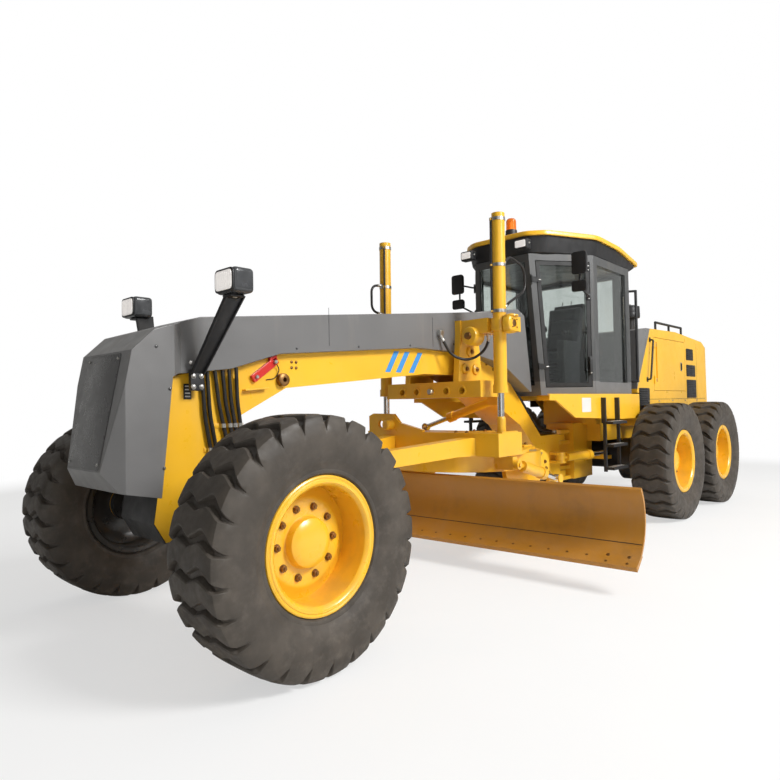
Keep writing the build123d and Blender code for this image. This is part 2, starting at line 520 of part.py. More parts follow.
def circle():
    """The ring with its inner flange, and the two arms that hold the blade."""
    low = CIRCLE_TOP_Z - CIRCLE_H
    ring = bar((CIRCLE_X, 0, low), (CIRCLE_X, 0, CIRCLE_TOP_Z), CIRCLE_R)
    ring = ring - bar((CIRCLE_X, 0, low - 1), (CIRCLE_X, 0, CIRCLE_TOP_Z + 1), CIRCLE_IN)
    flange = bar((CIRCLE_X, 0, FLANGE_LOW), (CIRCLE_X, 0, FLANGE_HIGH), CIRCLE_IN + 5)
    flange = flange - bar((CIRCLE_X, 0, FLANGE_LOW - 1), (CIRCLE_X, 0, FLANGE_HIGH + 1), FLANGE_IN)
    shape = fuse(ring, flange)
    px, pz = TILT_PIVOT
    for sign in (1, -1):
        y0, y1 = sorted((sign * (CIRCLE_IN + 2), sign * (CIRCLE_IN + 42)))
        arm = prism([(CIRCLE_X + 330, low + 1), (CIRCLE_X + 330, 920), (CIRCLE_X - 400, 920), (CIRCLE_X - 500, 880),
                     (CIRCLE_X - 545, 800), (CIRCLE_X - 540, 700), (CIRCLE_X - 250, 600),
                     (CIRCLE_X + px - 60, pz), (CIRCLE_X + px, pz - 60), (CIRCLE_X + px + 60, pz)], "y", y0, y1)
        boss = bar((CIRCLE_X + px, y0, pz), (CIRCLE_X + px, y1, pz), 68)
        pin = bar((CIRCLE_X + px, y0, pz), (CIRCLE_X + px, sign * (CIRCLE_IN + 98), pz), 35)
        shape = fuse(shape, arm, boss, pin)
    base_x, base_y, base_z = TILT_BASE
    lug = block(base_x - 40, base_x + 40, CIRCLE_IN - 100, base_y - 24, base_z - 45, base_z + 68)
    tilt_pin = bar((base_x, base_y - 40, base_z), (base_x, base_y + 35, base_z), 20)
    return yawed(fuse(shape, lug, tilt_pin))


TILT_Y = CIRCLE_R + 60
TILT_BASE = (CIRCLE_X + 400, TILT_Y, 850.0)
TILT_EYE = (CIRCLE_X - 380, TILT_Y, 650.0)
save("circle", circle())

BLADE_RIGHT, BLADE_LEFT = BLADE_SHIFT - BLADE_LENGTH / 2, BLADE_SHIFT + BLADE_LENGTH / 2
CURVE = (CIRCLE_X + 915.0, 532.0)     # middle of the mouldboard's curve
CURVE_R = 345.0
CURVE_LOW, CURVE_HIGH = -66.0, 38.0   # degrees below and above its rearmost line
SKIN = 22.0
RAIL_X, RAIL_HALF = 495.0, 1500.0
RAIL_Z = (590.0, 360.0)
HORN_IN = CIRCLE_R + 8
TILT_PIN_R = 14.0


def blade_outline(angle, radius):
    """A point of the mouldboard's section at its right end, from the middle of its curve."""
    return Vector(CURVE[0] - radius * cos(radians(angle)), BLADE_RIGHT, CURVE[1] + radius * sin(radians(angle)))


def blade():
    """The curved mouldboard with its thicker cutting edge, and the two rails on its back."""
    back_r = CURVE_R + SKIN
    middle = (CURVE_LOW + CURVE_HIGH) / 2
    front = Edge.make_three_point_arc(*[blade_outline(a, CURVE_R) for a in (CURVE_LOW, middle, CURVE_HIGH)])
    back = Edge.make_three_point_arc(*[blade_outline(a, back_r) for a in (CURVE_HIGH, middle, CURVE_LOW)])
    lines = [Edge.make_line(blade_outline(CURVE_HIGH, CURVE_R), blade_outline(CURVE_HIGH, back_r)),
             Edge.make_line(blade_outline(CURVE_LOW, back_r), blade_outline(CURVE_LOW, CURVE_R))]
    shape = extrude(Face(Wire([front, lines[0], back, lines[1]])), amount=BLADE_LENGTH, dir=(0, 1, 0))
    edge = [blade_outline(*corner) for corner in ((CURVE_LOW, CURVE_R), (CURVE_LOW, back_r + 14),
                                                  (CURVE_LOW + 22, back_r + 14), (CURVE_LOW + 22, back_r - 14))]
    shape = fuse(shape, prism([(corner.X, corner.Z) for corner in edge], "y", BLADE_RIGHT, BLADE_LEFT))
    for z in RAIL_Z:
        seat_x = CURVE[0] - (back_r ** 2 - (z - CURVE[1]) ** 2) ** 0.5
        shape = fuse(shape, block(CIRCLE_X + RAIL_X, seat_x + SKIN / 2, -RAIL_HALF, RAIL_HALF, z - 25, z + 25))
    return yawed(shape)


def blade_bracket():
    """The carrier that tips on the circle's arms and holds the blade's rails in four shoes."""
    px, pz = TILT_PIVOT
    shapes = []
    for sign in (1, -1):
        y0, y1 = sorted((sign * (CIRCLE_IN + 48), sign * (CIRCLE_IN + 92)))
        outline = [(px - 70, pz - 20), (px, pz - 80), (440, 290), (440, 660), (330, 640), (px - 20, pz + 80)]
        plate = prism([(CIRCLE_X + x, z) for x, z in outline], "y", y0, y1)
        shapes.append(plate)
        for z in RAIL_Z:
            shoe = block(CIRCLE_X + 430, CIRCLE_X + RAIL_X + 37, sign * 540, sign * 740, z - 55, z + 55)
            shoe = shoe - block(CIRCLE_X + RAIL_X - SLIDE, CIRCLE_X + RAIL_X + 80, -2000, 2000,
                                z - 25 - SLIDE, z + 25 + SLIDE)
            shapes.append(shoe)
    for z in RAIL_Z:
        shapes.append(block(CIRCLE_X + 430, CIRCLE_X + 480, -560, 560, z - 45, z + 45))
    eye_x, eye_y, eye_z = TILT_EYE
    horn = [(px + 60, pz), (px, pz - 70), (px - 70, pz - 60), (-410, 610), (-425, 665), (-375, 692), (px, pz + 80)]
    shapes += [prism([(CIRCLE_X + x, z) for x, z in horn], "y", HORN_IN, eye_y - 27),
               bar((CIRCLE_X + px, CIRCLE_IN + 90, pz), (CIRCLE_X + px, HORN_IN + 5, pz), 68),
               bar((eye_x, eye_y - 30, eye_z), (eye_x, eye_y + 38, eye_z), TILT_PIN_R),
               bar((eye_x, eye_y + 27, eye_z), (eye_x, eye_y + 40, eye_z), 46)]
    shape = fuse(*shapes)
    for sign in (1, -1):
        hole = bar((CIRCLE_X + px, sign * 500, pz), (CIRCLE_X + px, sign * 800, pz), 35 + RUN)
        shape = shape - hole
    return yawed(shape)


save("blade", blade())
save("blade_bracket", blade_bracket())

tilt_barrel = fuse(cylinder_barrel(TILT_BASE, TILT_EYE, 80, 420, 48, 23), eye_ring(TILT_BASE, (0, 1, 0), 42, 44, 0))
tilt_barrel = tilt_barrel - bar((TILT_BASE[0], TILT_Y - 50, TILT_BASE[2]), (TILT_BASE[0], TILT_Y + 50, TILT_BASE[2]), 20 + RUN)
save("tilt_barrel", yawed(tilt_barrel))
save("tilt_rod", yawed(fuse(cylinder_rod(TILT_BASE, TILT_EYE, 330, 30, 23), eye_ring(TILT_EYE, (0, 1, 0), 42, 50, 24))))

shift_barrel = fuse(cylinder_barrel(SHIFT_BASE, SHIFT_EYE, 75, 520, 42, 22), eye_ring(SHIFT_BASE, (1, 0, 0), 42, 50, 0))
shift_barrel = shift_barrel - bar((SHIFT_BASE[0] - 60, SHIFT_BASE[1], SHIFT_BASE[2]),
                                  (SHIFT_BASE[0] + 60, SHIFT_BASE[1], SHIFT_BASE[2]), 26 + RUN)
save("shift_barrel", shift_barrel)
save("shift_rod", fuse(cylinder_rod(SHIFT_BASE, SHIFT_EYE, 330, 20, 22), eye_ring(SHIFT_EYE, (1, 0, 0), 38, 50, 20)))


# ---------------------------------------------------------------- articulation cylinders
for side_name, sign in (("left", 1), ("right", -1)):
    base = (station(ART_FRONT[0]), sign * ART_FRONT[1], ART_Z)
    eye = (station(ART_REAR[0]), sign * ART_REAR[1], ART_Z)
    barrel = fuse(cylinder_barrel(base, eye, 95, 480, 50, 28), eye_ring(base, (0, 0, 1), 50, 62, 0))
    barrel = barrel - bar((base[0], base[1], ART_Z - 80), (base[0], base[1], ART_Z + 80), 25 + RUN)
    save(f"articulation_barrel_{side_name}", barrel)
    save(f"articulation_rod_{side_name}",
         fuse(cylinder_rod(base, eye, 330, 20, 28), eye_ring(eye, (0, 0, 1), 46, 60, 24)))


# ---------------------------------------------------------------- rear frame and tandem
RAIL_IN, RAIL_OUT, RAIL_LOW, RAIL_HIGH = 270.0, 350.0, 892.0, 1120.0
SKIRT_IN = 812.0
AXLE_R = 205.0                # rear axle housing
HOOD_LOW = 1240.0             # lower edge of the engine hood
TOW_LOW, TOW_HIGH, TOW_LIP, TOW_PIN_R = 820.0, 920.0, 40.0, 22.0     # notch, upper lip and pin bore for a tow bar
TAIL_LOW = 740.0


def rear_frame():
    """Rails, the hitch with its two pins, cab platform, tail beam and the drop plates for the cylinders."""
    hitch = block(station(5340), station(4855), -180, 180, 455, 1120)
    shape = hitch
    for low, high in ((1000, 1045), (875, 920), (575, 620), (450, 495)):
        shape = fuse(shape, block(station(4900), PIVOT_X, -LUG_R, LUG_R, low, high),
                     bar((PIVOT_X, 0, low), (PIVOT_X, 0, high), LUG_R))
    for low, high in ((875, 1055), (440, 620)):
        shape = fuse(shape, bar((PIVOT_X, 0, low), (PIVOT_X, 0, high), PIVOT_PIN_R))
    cross = block(station(5340), station(5220), -RAIL_OUT, RAIL_OUT, RAIL_LOW, RAIL_HIGH)
    tail = side([(TAIL_BACK, TAIL_LOW), (TAIL_BACK, 1180), (8080, 1230), (8080, TAIL_LOW)], -920, 920)
    shape = fuse(shape, cross, tail)
    for sign in (1, -1):
        rail = block(station(8100), station(5300), sign * RAIL_IN, sign * RAIL_OUT, RAIL_LOW, RAIL_HIGH)
        drop = block(station(ART_REAR[0] + 60), station(ART_REAR[0] - 60), sign * 150, sign * (ART_REAR[1] + 50),
                     ART_Z - 75, ART_Z - 31)
        skirt = side([(3100, 1460), (3620, 1225), (4700, 1180), (5240, 1180), (5240, 1460)],
                     *sorted((sign * SKIRT_IN, sign * 835)))
        deck = prism([(station(3110), sign * 834), (station(3720), sign * 420), (station(3720), sign * 300),
                      (station(5240), sign * 300), (station(5240), sign * 834)], "z", 1400, DECK_Z)
        axle = bar((station(TANDEM_BACK), sign * 100, WHEEL_Z), (station(TANDEM_BACK), sign * 500, WHEEL_Z),
                   AXLE_R + SEAT)
        pad = block(station(TANDEM_BACK + 170), station(TANDEM_BACK - 170), sign * RAIL_IN, sign * RAIL_OUT,
                    WHEEL_Z + 60, RAIL_LOW + 5) - axle
        shape = fuse(shape, rail, drop, skirt, deck, pad)
    for back in (5870, 7940):
        shape = fuse(shape, block(station(back + 45), station(back - 45), -HOOD_HALF + 4, HOOD_HALF - 4,
                                  RAIL_HIGH - 60, HOOD_LOW - SEAT))
    floor = block(station(5240), station(4300), -310, 310, 1400, DECK_Z)
    riser = block(station(5340), station(5100), -RAIL_OUT, RAIL_OUT, 1100, 1410)
    shape = fuse(shape, floor, riser)
    sweep = prism([(station(3000), -920), (station(3810), -592), (station(3810), 592), (station(3000), 920)],
                  "z", 1100, 1470)
    rims = [block(station(3000), station(3810), sign * SKIRT_IN, sign * 900, 1100, 1470) for sign in (1, -1)]
    shape = shape - (sweep - rims)
    notch = block(station(TAIL_BACK + 10), station(TAIL_BACK - 130), -110, 110, TOW_LOW, 1300)
    lip = block(station(TAIL_BACK), station(TAIL_BACK - 131), -111, 111, TOW_HIGH, TOW_HIGH + TOW_LIP)
    tow_bore = bar((station(TAIL_BACK - 65), 0, TAIL_LOW - 10), (station(TAIL_BACK - 65), 0, 1300), TOW_PIN_R)
    return fuse(shape - notch, lip) - tow_bore


save("rear_frame", rear_frame())


def tandem_axle():
    """The rear axle housing with a tandem case at each end and a shaft out to each wheel."""
    x = station(TANDEM_BACK)
    shape = bar((x, -600, WHEEL_Z), (x, 600, WHEEL_Z), AXLE_R)
    half = TANDEM_SPACING / 2
    for sign in (1, -1):
        y0, y1 = sorted((sign * 560, sign * 780))
        case = block(x - half, x + half, y0, y1, WHEEL_Z - 245, WHEEL_Z + 245)
        shape = fuse(shape, case)
        for wheel_x in (x - half, x + half):
            end = bar((wheel_x, y0, WHEEL_Z), (wheel_x, y1, WHEEL_Z), 245)
            drum = bar((wheel_x, sign * 700, WHEEL_Z), (wheel_x, sign * (TYRE_IN + 70), WHEEL_Z), 190)
            shaft = bar((wheel_x, sign * 700, WHEEL_Z), (wheel_x, sign * (HALF_TRACK + 40), WHEEL_Z), AXLE_SHAFT_R)
            shape = fuse(shape, end, drum, shaft)
    return shape


save("tandem_axle", tandem_axle())

save("engine_block", block(station(7450), station(5950), -RAIL_IN + SEAT, RAIL_IN - SEAT, 900, 1850))


# ---------------------------------------------------------------- cab
PANE = 8.0
DOOR_TH = 45.0
DOOR_STOP = 22.0              # width of the stop behind a door's edge
PLAN_STEP = (CAB_POST_BACK - 3723.0, CAB_HALF - 400.0)      # from the door post to the foot of the front post
DOOR_RUN = hypot(*PLAN_STEP)
DOOR_DIR = (PLAN_STEP[0] / DOOR_RUN, -PLAN_STEP[1] / DOOR_RUN)
DOOR_OUT = (-DOOR_DIR[1], DOOR_DIR[0])
FRONT_LEAN = 99.0             # how far the front post leans forward from sill to roof, along the door


def door_slab(points, inner, outer):
    """A flat piece in the left door's plane: points are (distance forward of the post, z)."""
    def place(run, z, depth):
        return (station(CAB_POST_BACK) + run * DOOR_DIR[0] + depth * DOOR_OUT[0],
                CAB_HALF + run * DOOR_DIR[1] + depth * DOOR_OUT[1], z)
    face = Face(Wire.make_polygon([place(run, z, inner) for run, z in points], close=True))
    depth = outer - inner
    return Solid.extrude(face, Vector(depth * DOOR_OUT[0], depth * DOOR_OUT[1], 0))


def front_run(z, inset):
    """Distance forward of the post of the leaning front edge at height z, less an inset."""
    return DOOR_RUN + FRONT_LEAN * (z - CAB_FLOOR_Z) / (CAB_TOP_Z - CAB_FLOOR_Z) - inset


def cab_plan(inset, low, high):
    """The cab's outline as a prism, drawn in from its outer face."""
    top_run = front_run(CAB_TOP_Z, 0) + 60
    nose = (station(CAB_POST_BACK) + top_run * DOOR_DIR[0], CAB_HALF + top_run * DOOR_DIR[1])
    shift = (inset * DOOR_OUT[0], inset * DOOR_OUT[1])
    points = []
    for sign in (1, -1):
        half = [(nose[0] - shift[0], sign * (nose[1] - shift[1])),
                (station(CAB_POST_BACK) - shift[0] * 0.6, sign * (CAB_HALF - inset)),
                (station(CAB_REAR_BACK - inset), sign * (CAB_REAR_HALF - inset))]
        points += half if sign > 0 else list(reversed(half))
    return prism(points, "z", low, high)


def windscreen_cut(inset):
    """Everything in front of the leaning windscreen plane, moved back by an inset."""
    foot, head = 3723 + inset, 3636 + inset
    slope = (foot - head) / (CAB_TOP_Z - CAB_FLOOR_Z)
    return side([(foot + 100 * slope, 1400), (head - 100 * slope, 3050), (3000, 3050), (3000, 1400)], -1200, 1200)


DOOR_LOW, DOOR_HIGH = 1535.0, 2880.0
SIDE_WINDOW = [(4330, 1590), (4330, 2860), (5130, 2860), (5130, 1590)]
REAR_WINDOW = [(-560, 1750), (-560, 2850), (560, 2850), (560, 1750)]
SCREEN = [(-330, 1560), (-290, 2870), (290, 2870), (330, 1560)]


def inset_outline(points, gap):
    """A four-cornered window outline drawn in by a gap on every side."""
    middle = [sum(point[i] for point in points) / len(points) for i in (0, 1)]
    return [tuple(value + (gap if value < mid else -gap) for value, mid in zip(point, middle)) for point in points]


HINGE_LOW, HINGE_HIGH = (3723.0, 400.0, 1500.0), (3636.0, 351.0, 2950.0)     # back, y, z of the hinge line's ends
HINGE_STANDS = 4.0            # the hinge line's distance outside the door's face
HINGE_AT = (260.0, 1180.0)    # places of the two hinges along the line
KNUCKLE, HINGE_PIN = 11.0, 5.0


def hinge_point(at):
    """A point on the left door's leaning hinge line."""
    out = Vector(DOOR_OUT[0], DOOR_OUT[1], 0) * HINGE_STANDS
    low, high = [Vector(station(back), y, z) + out for back, y, z in (HINGE_LOW, HINGE_HIGH)]
    return low + (high - low).normalized() * at


def hinge_round(at, low, high, radius):
    """A round bar on the hinge line between two distances from a hinge's middle."""
    return bar(hinge_point(at + low), hinge_point(at + high), radius)


def hinge_fixed():
    """The left post's half of both door hinges: two lugs and the pin between them, each as one piece."""
    return [fuse(hinge_round(at, -50, 50, HINGE_PIN), hinge_round(at, -50, -36, KNUCKLE),
                 hinge_round(at, 36, 50, KNUCKLE)) for at in HINGE_AT]


def hinge_moving():
    """The door's half of both hinges: a strap over the post that ends in a knuckle round the pin."""
    halves = []
    for at in HINGE_AT:
        z = hinge_point(at).Z
        strap = door_slab([(front_run(z - 28, 105), z - 28), (front_run(z - 28, 0), z - 28),
                           (front_run(z + 28, 0), z + 28), (front_run(z + 28, 105), z + 28)], 5, 10)
        pad = door_slab([(front_run(z - 28, 105), z - 28), (front_run(z - 28, 71), z - 28),
                         (front_run(z + 28, 71), z + 28), (front_run(z + 28, 105), z + 28)], -1, 6)
        halves.append(fuse(strap, pad, hinge_round(at, -34, 34, KNUCKLE)) - hinge_round(at, -40, 40, HINGE_PIN + 0.5))
    return halves


def cab_body():
    """The hollow cab frame with its floor: posts, sills and header, and the openings between them."""
    outer = cab_plan(0, DECK_Z + SEAT, CAB_TOP_Z) - windscreen_cut(0)
    inner = cab_plan(CAB_WALL, CAB_FLOOR_Z, CAB_TOP_Z - CAB_WALL) - windscreen_cut(CAB_WALL)
    shape = outer - inner
    opening = [(42, DOOR_LOW), (front_run(DOOR_LOW, 60), DOOR_LOW), (front_run(DOOR_HIGH, 60), DOOR_HIGH),
               (42, DOOR_HIGH)]
    door = fuse(door_slab(opening, -DOOR_TH - SEAT, 60), door_slab(inset_outline(opening, DOOR_STOP), -120, 60))
    window = side(SIDE_WINDOW, CAB_REAR_HALF - 100, CAB_HALF + 60)
    shape = shape - [door, mirrored(door), window, mirrored(window)]
    rear = prism(REAR_WINDOW, "x", station(CAB_REAR_BACK + 60), station(CAB_REAR_BACK - 120))
    screen = prism(SCREEN, "x", station(3850), station(3550))
    shape = shape - rear - screen
    for at, half in zip(HINGE_AT, hinge_fixed()):
        relief = hinge_round(at, -38, 38, KNUCKLE + 3)
        shape = fuse(shape - relief - mirrored(relief), half, mirrored(half))
    return shape


save("cab_body", cab_body())


def cab_glass():
    """Fixed panes: windscreen, two rear side windows and the rear window."""
    rear = prism(inset_outline(REAR_WINDOW, SEAT), "x", station(CAB_REAR_BACK - 20), station(CAB_REAR_BACK - 20 - PANE))
    side_pane = side(inset_outline(SIDE_WINDOW, SEAT), CAB_REAR_HALF - 60, CAB_HALF + 60)
    wall_line = prism([(station(4200), CAB_HALF - 24), (station(CAB_REAR_BACK), CAB_REAR_HALF - 20),
                       (station(CAB_REAR_BACK), CAB_REAR_HALF - 20 - PANE), (station(4200), CAB_HALF - 24 - PANE)],
                      "z", 1500, 2950)
    side_pane = side_pane & wall_line
    screen = prism(inset_outline(SCREEN, SEAT), "x", station(3900), station(3500))
    screen = (screen & windscreen_cut(30 + PANE)) - windscreen_cut(30)
    return [rear, screen] + both(side_pane)


save("cab_glass", *cab_glass())

DOOR_GAP = 7.0
DOOR_PANE = [(120, DOOR_LOW + 55), (1, DOOR_LOW + 55), (1, DOOR_HIGH - 55), (120, DOOR_HIGH - 55)]


def cab_door():
    """The left door's frame, handle and pane: thin frame along the sill and post, glass almost to the edges."""
    low, high = DOOR_LOW + DOOR_GAP, DOOR_HIGH - DOOR_GAP
    outline = [(42 + DOOR_GAP, low), (front_run(low, 60 + DOOR_GAP), low), (front_run(high, 60 + DOOR_GAP), high),
               (42 + DOOR_GAP, high)]
    rim = 42
    window = [(42 + DOOR_GAP + rim, low + rim), (front_run(low + rim, 60 + DOOR_GAP + rim), low + rim),
              (front_run(high - rim, 60 + DOOR_GAP + rim), high - rim), (42 + DOOR_GAP + rim, high - rim)]
    frame = door_slab(outline, -DOOR_TH, 0) - door_slab(window, -100, 50)
    pane = door_slab([(run + (SEAT if run < 300 else -SEAT), z + (SEAT if z < 2000 else -SEAT)) for run, z in window],
                     -26, -26 + PANE)
    handle = door_slab([(58, 1700), (58, 1830), (84, 1830), (84, 1700)], SEAT, 38)
    handle = handle - door_slab([(50, 1722), (50, 1808), (95, 1808), (95, 1722)], 8, 24)
    return fuse(frame, *hinge_moving()), handle, pane


door_frame, door_handle, door_pane = cab_door()
save("cab_door_left", door_frame, door_handle)
save("cab_door_right", mirrored(door_frame), mirrored(door_handle))
save("door_glass_left", door_pane)
save("door_glass_right", mirrored(door_pane))


def mirror():
    """The left door's mirrors: a tall one and a small wide one on thin arms from the door's rear edge."""
    def at(run, depth, z):
        return (station(CAB_POST_BACK) + run * DOOR_DIR[0] + depth * DOOR_OUT[0],
                CAB_HALF + run * DOOR_DIR[1] + depth * DOOR_OUT[1], z)
    arm = fuse(bar(at(70, SEAT, 2810), at(70, 40, 2810), 14), bar(at(70, 30, 2810), at(260, 190, 2810), 10),
               bar(at(260, 190, 2830), at(260, 190, 2540), 10), bar(at(70, SEAT, 2500), at(70, 40, 2500), 14),
               bar(at(70, 30, 2500), at(262, 192, 2560), 10))
    tall_at, small_at = at(275, 205, 2815), at(275, 205, 2577)
    tall = block(tall_at[0] - 25, tall_at[0] + 25, tall_at[1] - 75, tall_at[1] + 85, 2700, 2930)
    small = block(small_at[0] - 25, small_at[0] + 25, small_at[1] - 80, small_at[1] + 80, 2520, 2630)
    return fuse(arm, tall, small)


left_mirror = mirror()
save("mirror_left", left_mirror)
save("mirror_right", mirrored(left_mirror))


ROOF_TOP, ROOF_ARCH, ROOF_CROWN, ROOF_SKIN = 3200.0, 3900.0, 70.0, 72.0     # height, radius along, fall to the side, skin
ROOF_MIDDLE = 4400.0
ROOF_PLAN = [(3290, 440), (3560, 600), (4250, 846), (4760, 848), (5480, 770)]


def under_arch(drop):
    """All that lies below the roof's double curve, lowered by this much."""
    x, top = station(ROOF_MIDDLE), ROOF_TOP - drop
    eave, base = top - ROOF_CROWN, top - 700
    crown = Edge.make_three_point_arc((x, -900, eave), (x, 0, top), (x, 900, eave))
    walls = [Edge.make_line((x, 900, eave), (x, 900, base)), Edge.make_line((x, 900, base), (x, -900, base)),
             Edge.make_line((x, -900, base), (x, -900, eave))]
    axis = Axis((x, 0, ROOF_TOP - ROOF_ARCH), (0, 1, 0))
    return Solid.revolve(Face(Wire([crown, *walls])), 40, axis).rotate(axis, -20)


def roof_plan(inset, low, high):
    """The roof's outline seen from above as a prism with soft corners, drawn in by an inset."""
    half = [(back + (inset if back < ROOF_MIDDLE else -inset), y - inset) for back, y in ROOF_PLAN]
    points = [(station(back), y) for back, y in half] + [(station(back), -y) for back, y in reversed(half)]
    shape = prism(points, "z", low, high)
    return fillet(shape.edges().filter_by(Axis.Z), 45)


def cab_roof():
    """The thin arched roof cap that overhangs the cab all round."""
    return (roof_plan(0, 2900, 3300) & under_arch(0)) - under_arch(ROOF_SKIN)


def roof_tray():
    """The dark tray under the roof cap, open at its top, which carries the lamps."""
    tray = roof_plan(38, CAB_TOP_Z + SEAT, 3300) & under_arch(ROOF_SKIN + SEAT)
    return tray - roof_plan(68, CAB_TOP_Z + 24, 3300)


save("cab_roof", cab_roof())


def roof_lamps():
    """Work lamps under the roof's four corners and the beacon on its stand."""
    lamps = []
    for back, y, low in ((3330, 380, 2830), (5400, 620, 2830)):
        head = block(station(back - 45), station(back + 45), y - 75, y + 75, low, low + 95)
        stem = bar((station(back), y, low + 90), (station(back), y, CAB_TOP_Z), 16)
        lamps += both(fuse(head, stem))
    stand_z = 3196
    beacon = fuse(bar((station(3860), 0, stand_z - 46), (station(3860), 0, 3300), 62),
                  bar((station(3860), 0, 3299), (station(3860), 0, 3440), 52))
    return lamps, beacon - cab_roof()


lamps, beacon = roof_lamps()
save("roof_lamps", *lamps, beacon, roof_tray())


def seat():
    """Suspension box, cushion and back rest as one plain closed form."""
    base = block(station(4900), station(4480), -200, 200, CAB_FLOOR_Z, 1830)
    cushion = block(station(4960), station(4440), -250, 250, 1828, 1960)
    back = side([(4900, 1940), (5060, 2620), (5170, 2620), (5060, 1900)], -240, 240)
    return fuse(base, cushion, back)


save("seat", seat())


def steering_console():
    """The column with its wheel, and the two control pods beside the seat."""
    column = fuse(bar((station(3990), 0, 1540), (station(4180), 0, 2200), 60),
                  block(station(4080), station(3900), -90, 90, CAB_FLOOR_Z, 1600))
    wheel_centre = (station(4190), 0, 2235)
    axis = Vector(-200, 0, 700).normalized()
    rim_plane = Plane(origin=wheel_centre, z_dir=axis)
    rim = Solid.make_torus(190, 16, rim_plane)
    spokes = [bar(wheel_centre, tuple(Vector(*wheel_centre) + rim_plane.x_dir * 188), 13),
              bar(wheel_centre, tuple(Vector(*wheel_centre) - rim_plane.x_dir * 188), 13),
              bar(wheel_centre, tuple(Vector(*wheel_centre) + rim_plane.y_dir * 188), 13)]
    hub = bar((station(4170), 0, 2165), tuple(Vector(*wheel_centre) + axis * 15), 42)
    pods = [block(station(4700), station(4300), sign * 275, sign * 370, CAB_FLOOR_Z, 2080) for sign in (1, -1)]
    return fuse(column, rim, hub, *spokes), pods


console, pods = steering_console()
save("steering_console", console, *pods)


# ---------------------------------------------------------------- engine enclosure
HOOD_DOOR = [(5960, 1500), (5960, 2190), (7130, 2190), (7130, 1500)]


HOOD_HINGE = (5966.0, HOOD_HALF + 6.0)       # back and y of the hood doors' hinge line
HOOD_HINGE_Z = (1640.0, 2090.0)


def hood_hinges(fixed):
    """One half of the left hood door's two hinges: lugs and pins on the hood, or strap and knuckle on the door."""
    back, y = HOOD_HINGE
    halves = []
    for z in HOOD_HINGE_Z:
        def section(low, high, radius):
            return bar((station(back), y, z + low), (station(back), y, z + high), radius)
        if fixed:
            halves.append(fuse(section(-50, 50, HINGE_PIN), section(-50, -36, KNUCKLE), section(36, 50, KNUCKLE)))
        else:
            strap = block(station(back + 70), station(back), HOOD_HALF + 4, HOOD_HALF + 10, z - 28, z + 28)
            pad = block(station(back + 70), station(back + 28), HOOD_HALF - 1, HOOD_HALF + 5, z - 28, z + 28)
            halves.append(fuse(strap, pad, section(-34, 34, KNUCKLE)) - section(-40, 40, HINGE_PIN + 0.5))
    return halves


def engine_hood():
    """The hollow engine cover: roof, sides with a door opening each, and a slatted rear."""
    outline = [(5400, 1475), (5400, 2235), (5720, 2285), (6772, 2310), (7900, 2240), (8070, 2160), (8090, HOOD_LOW),
               (5790, HOOD_LOW), (5500, 1475)]
    outer = side(outline, -HOOD_HALF, HOOD_HALF)
    inner = side([(5440, 1100), (5440, 2198), (5726, 2246), (6772, 2270), (7888, 2202), (8030, 2132), (8050, 1100)],
                 -HOOD_HALF + HOOD_SKIN, HOOD_HALF - HOOD_SKIN)
    shape = outer - inner
    wall_in = HOOD_HALF - HOOD_SKIN
    stop = side(inset_outline(HOOD_DOOR, -DOOR_STOP), wall_in - 10, wall_in)
    door = fuse(side(HOOD_DOOR, wall_in - SEAT, HOOD_HALF + 60),
                side(inset_outline(HOOD_DOOR, DOOR_STOP), wall_in - 60, HOOD_HALF + 60))
    shape = fuse(shape, stop, mirrored(stop)) - [door, mirrored(door)]
    rear = block(station(8120), station(8000), -560, 560, 1340, 2080)
    shape = shape - rear
    slats = [block(station(8084), station(8056), -565, 565, z, z + 18) for z in range(1385, 2080, 45)]
    for z in HOOD_HINGE_Z:
        relief = bar((station(HOOD_HINGE[0]), HOOD_HINGE[1], z - 38), (station(HOOD_HINGE[0]), HOOD_HINGE[1], z + 38),
                     KNUCKLE + 3)
        shape = shape - relief - mirrored(relief)
    return fuse(shape, *slats, *[piece for half in hood_hinges(True) for piece in both(half)])


save("engine_hood", engine_hood())

hood_door = side(inset_outline(HOOD_DOOR, 6), HOOD_HALF - HOOD_SKIN, HOOD_HALF)
for hinge_z in HOOD_HINGE_Z:
    hood_door = hood_door - bar((station(HOOD_HINGE[0]), HOOD_HINGE[1], hinge_z - 54),
                                (station(HOOD_HINGE[0]), HOOD_HINGE[1], hinge_z + 54), KNUCKLE + 3)
hood_door = fuse(hood_door, *hood_hinges(False))
hood_door = hood_door - side([(6030, 1620), (6030, 2130), (6085, 2130), (6085, 1620)], HOOD_HALF - 18, HOOD_HALF + 10)
save("hood_door_left", hood_door)
save("hood_door_right", mirrored(hood_door))


def stacks():
    """Exhaust pipe and air pre-cleaner on the hood."""
    exhaust = bar((station(6250), -350, 2297), (station(6250), -350, 2760), 62)
    cleaner = fuse(bar((station(6250), 350, 2297), (station(6250), 350, 2520), 55),
                   bar((station(6250), 350, 2500), (station(6250), 350, 2650), 120))
    return exhaust, cleaner


hood_solid = engine_hood()


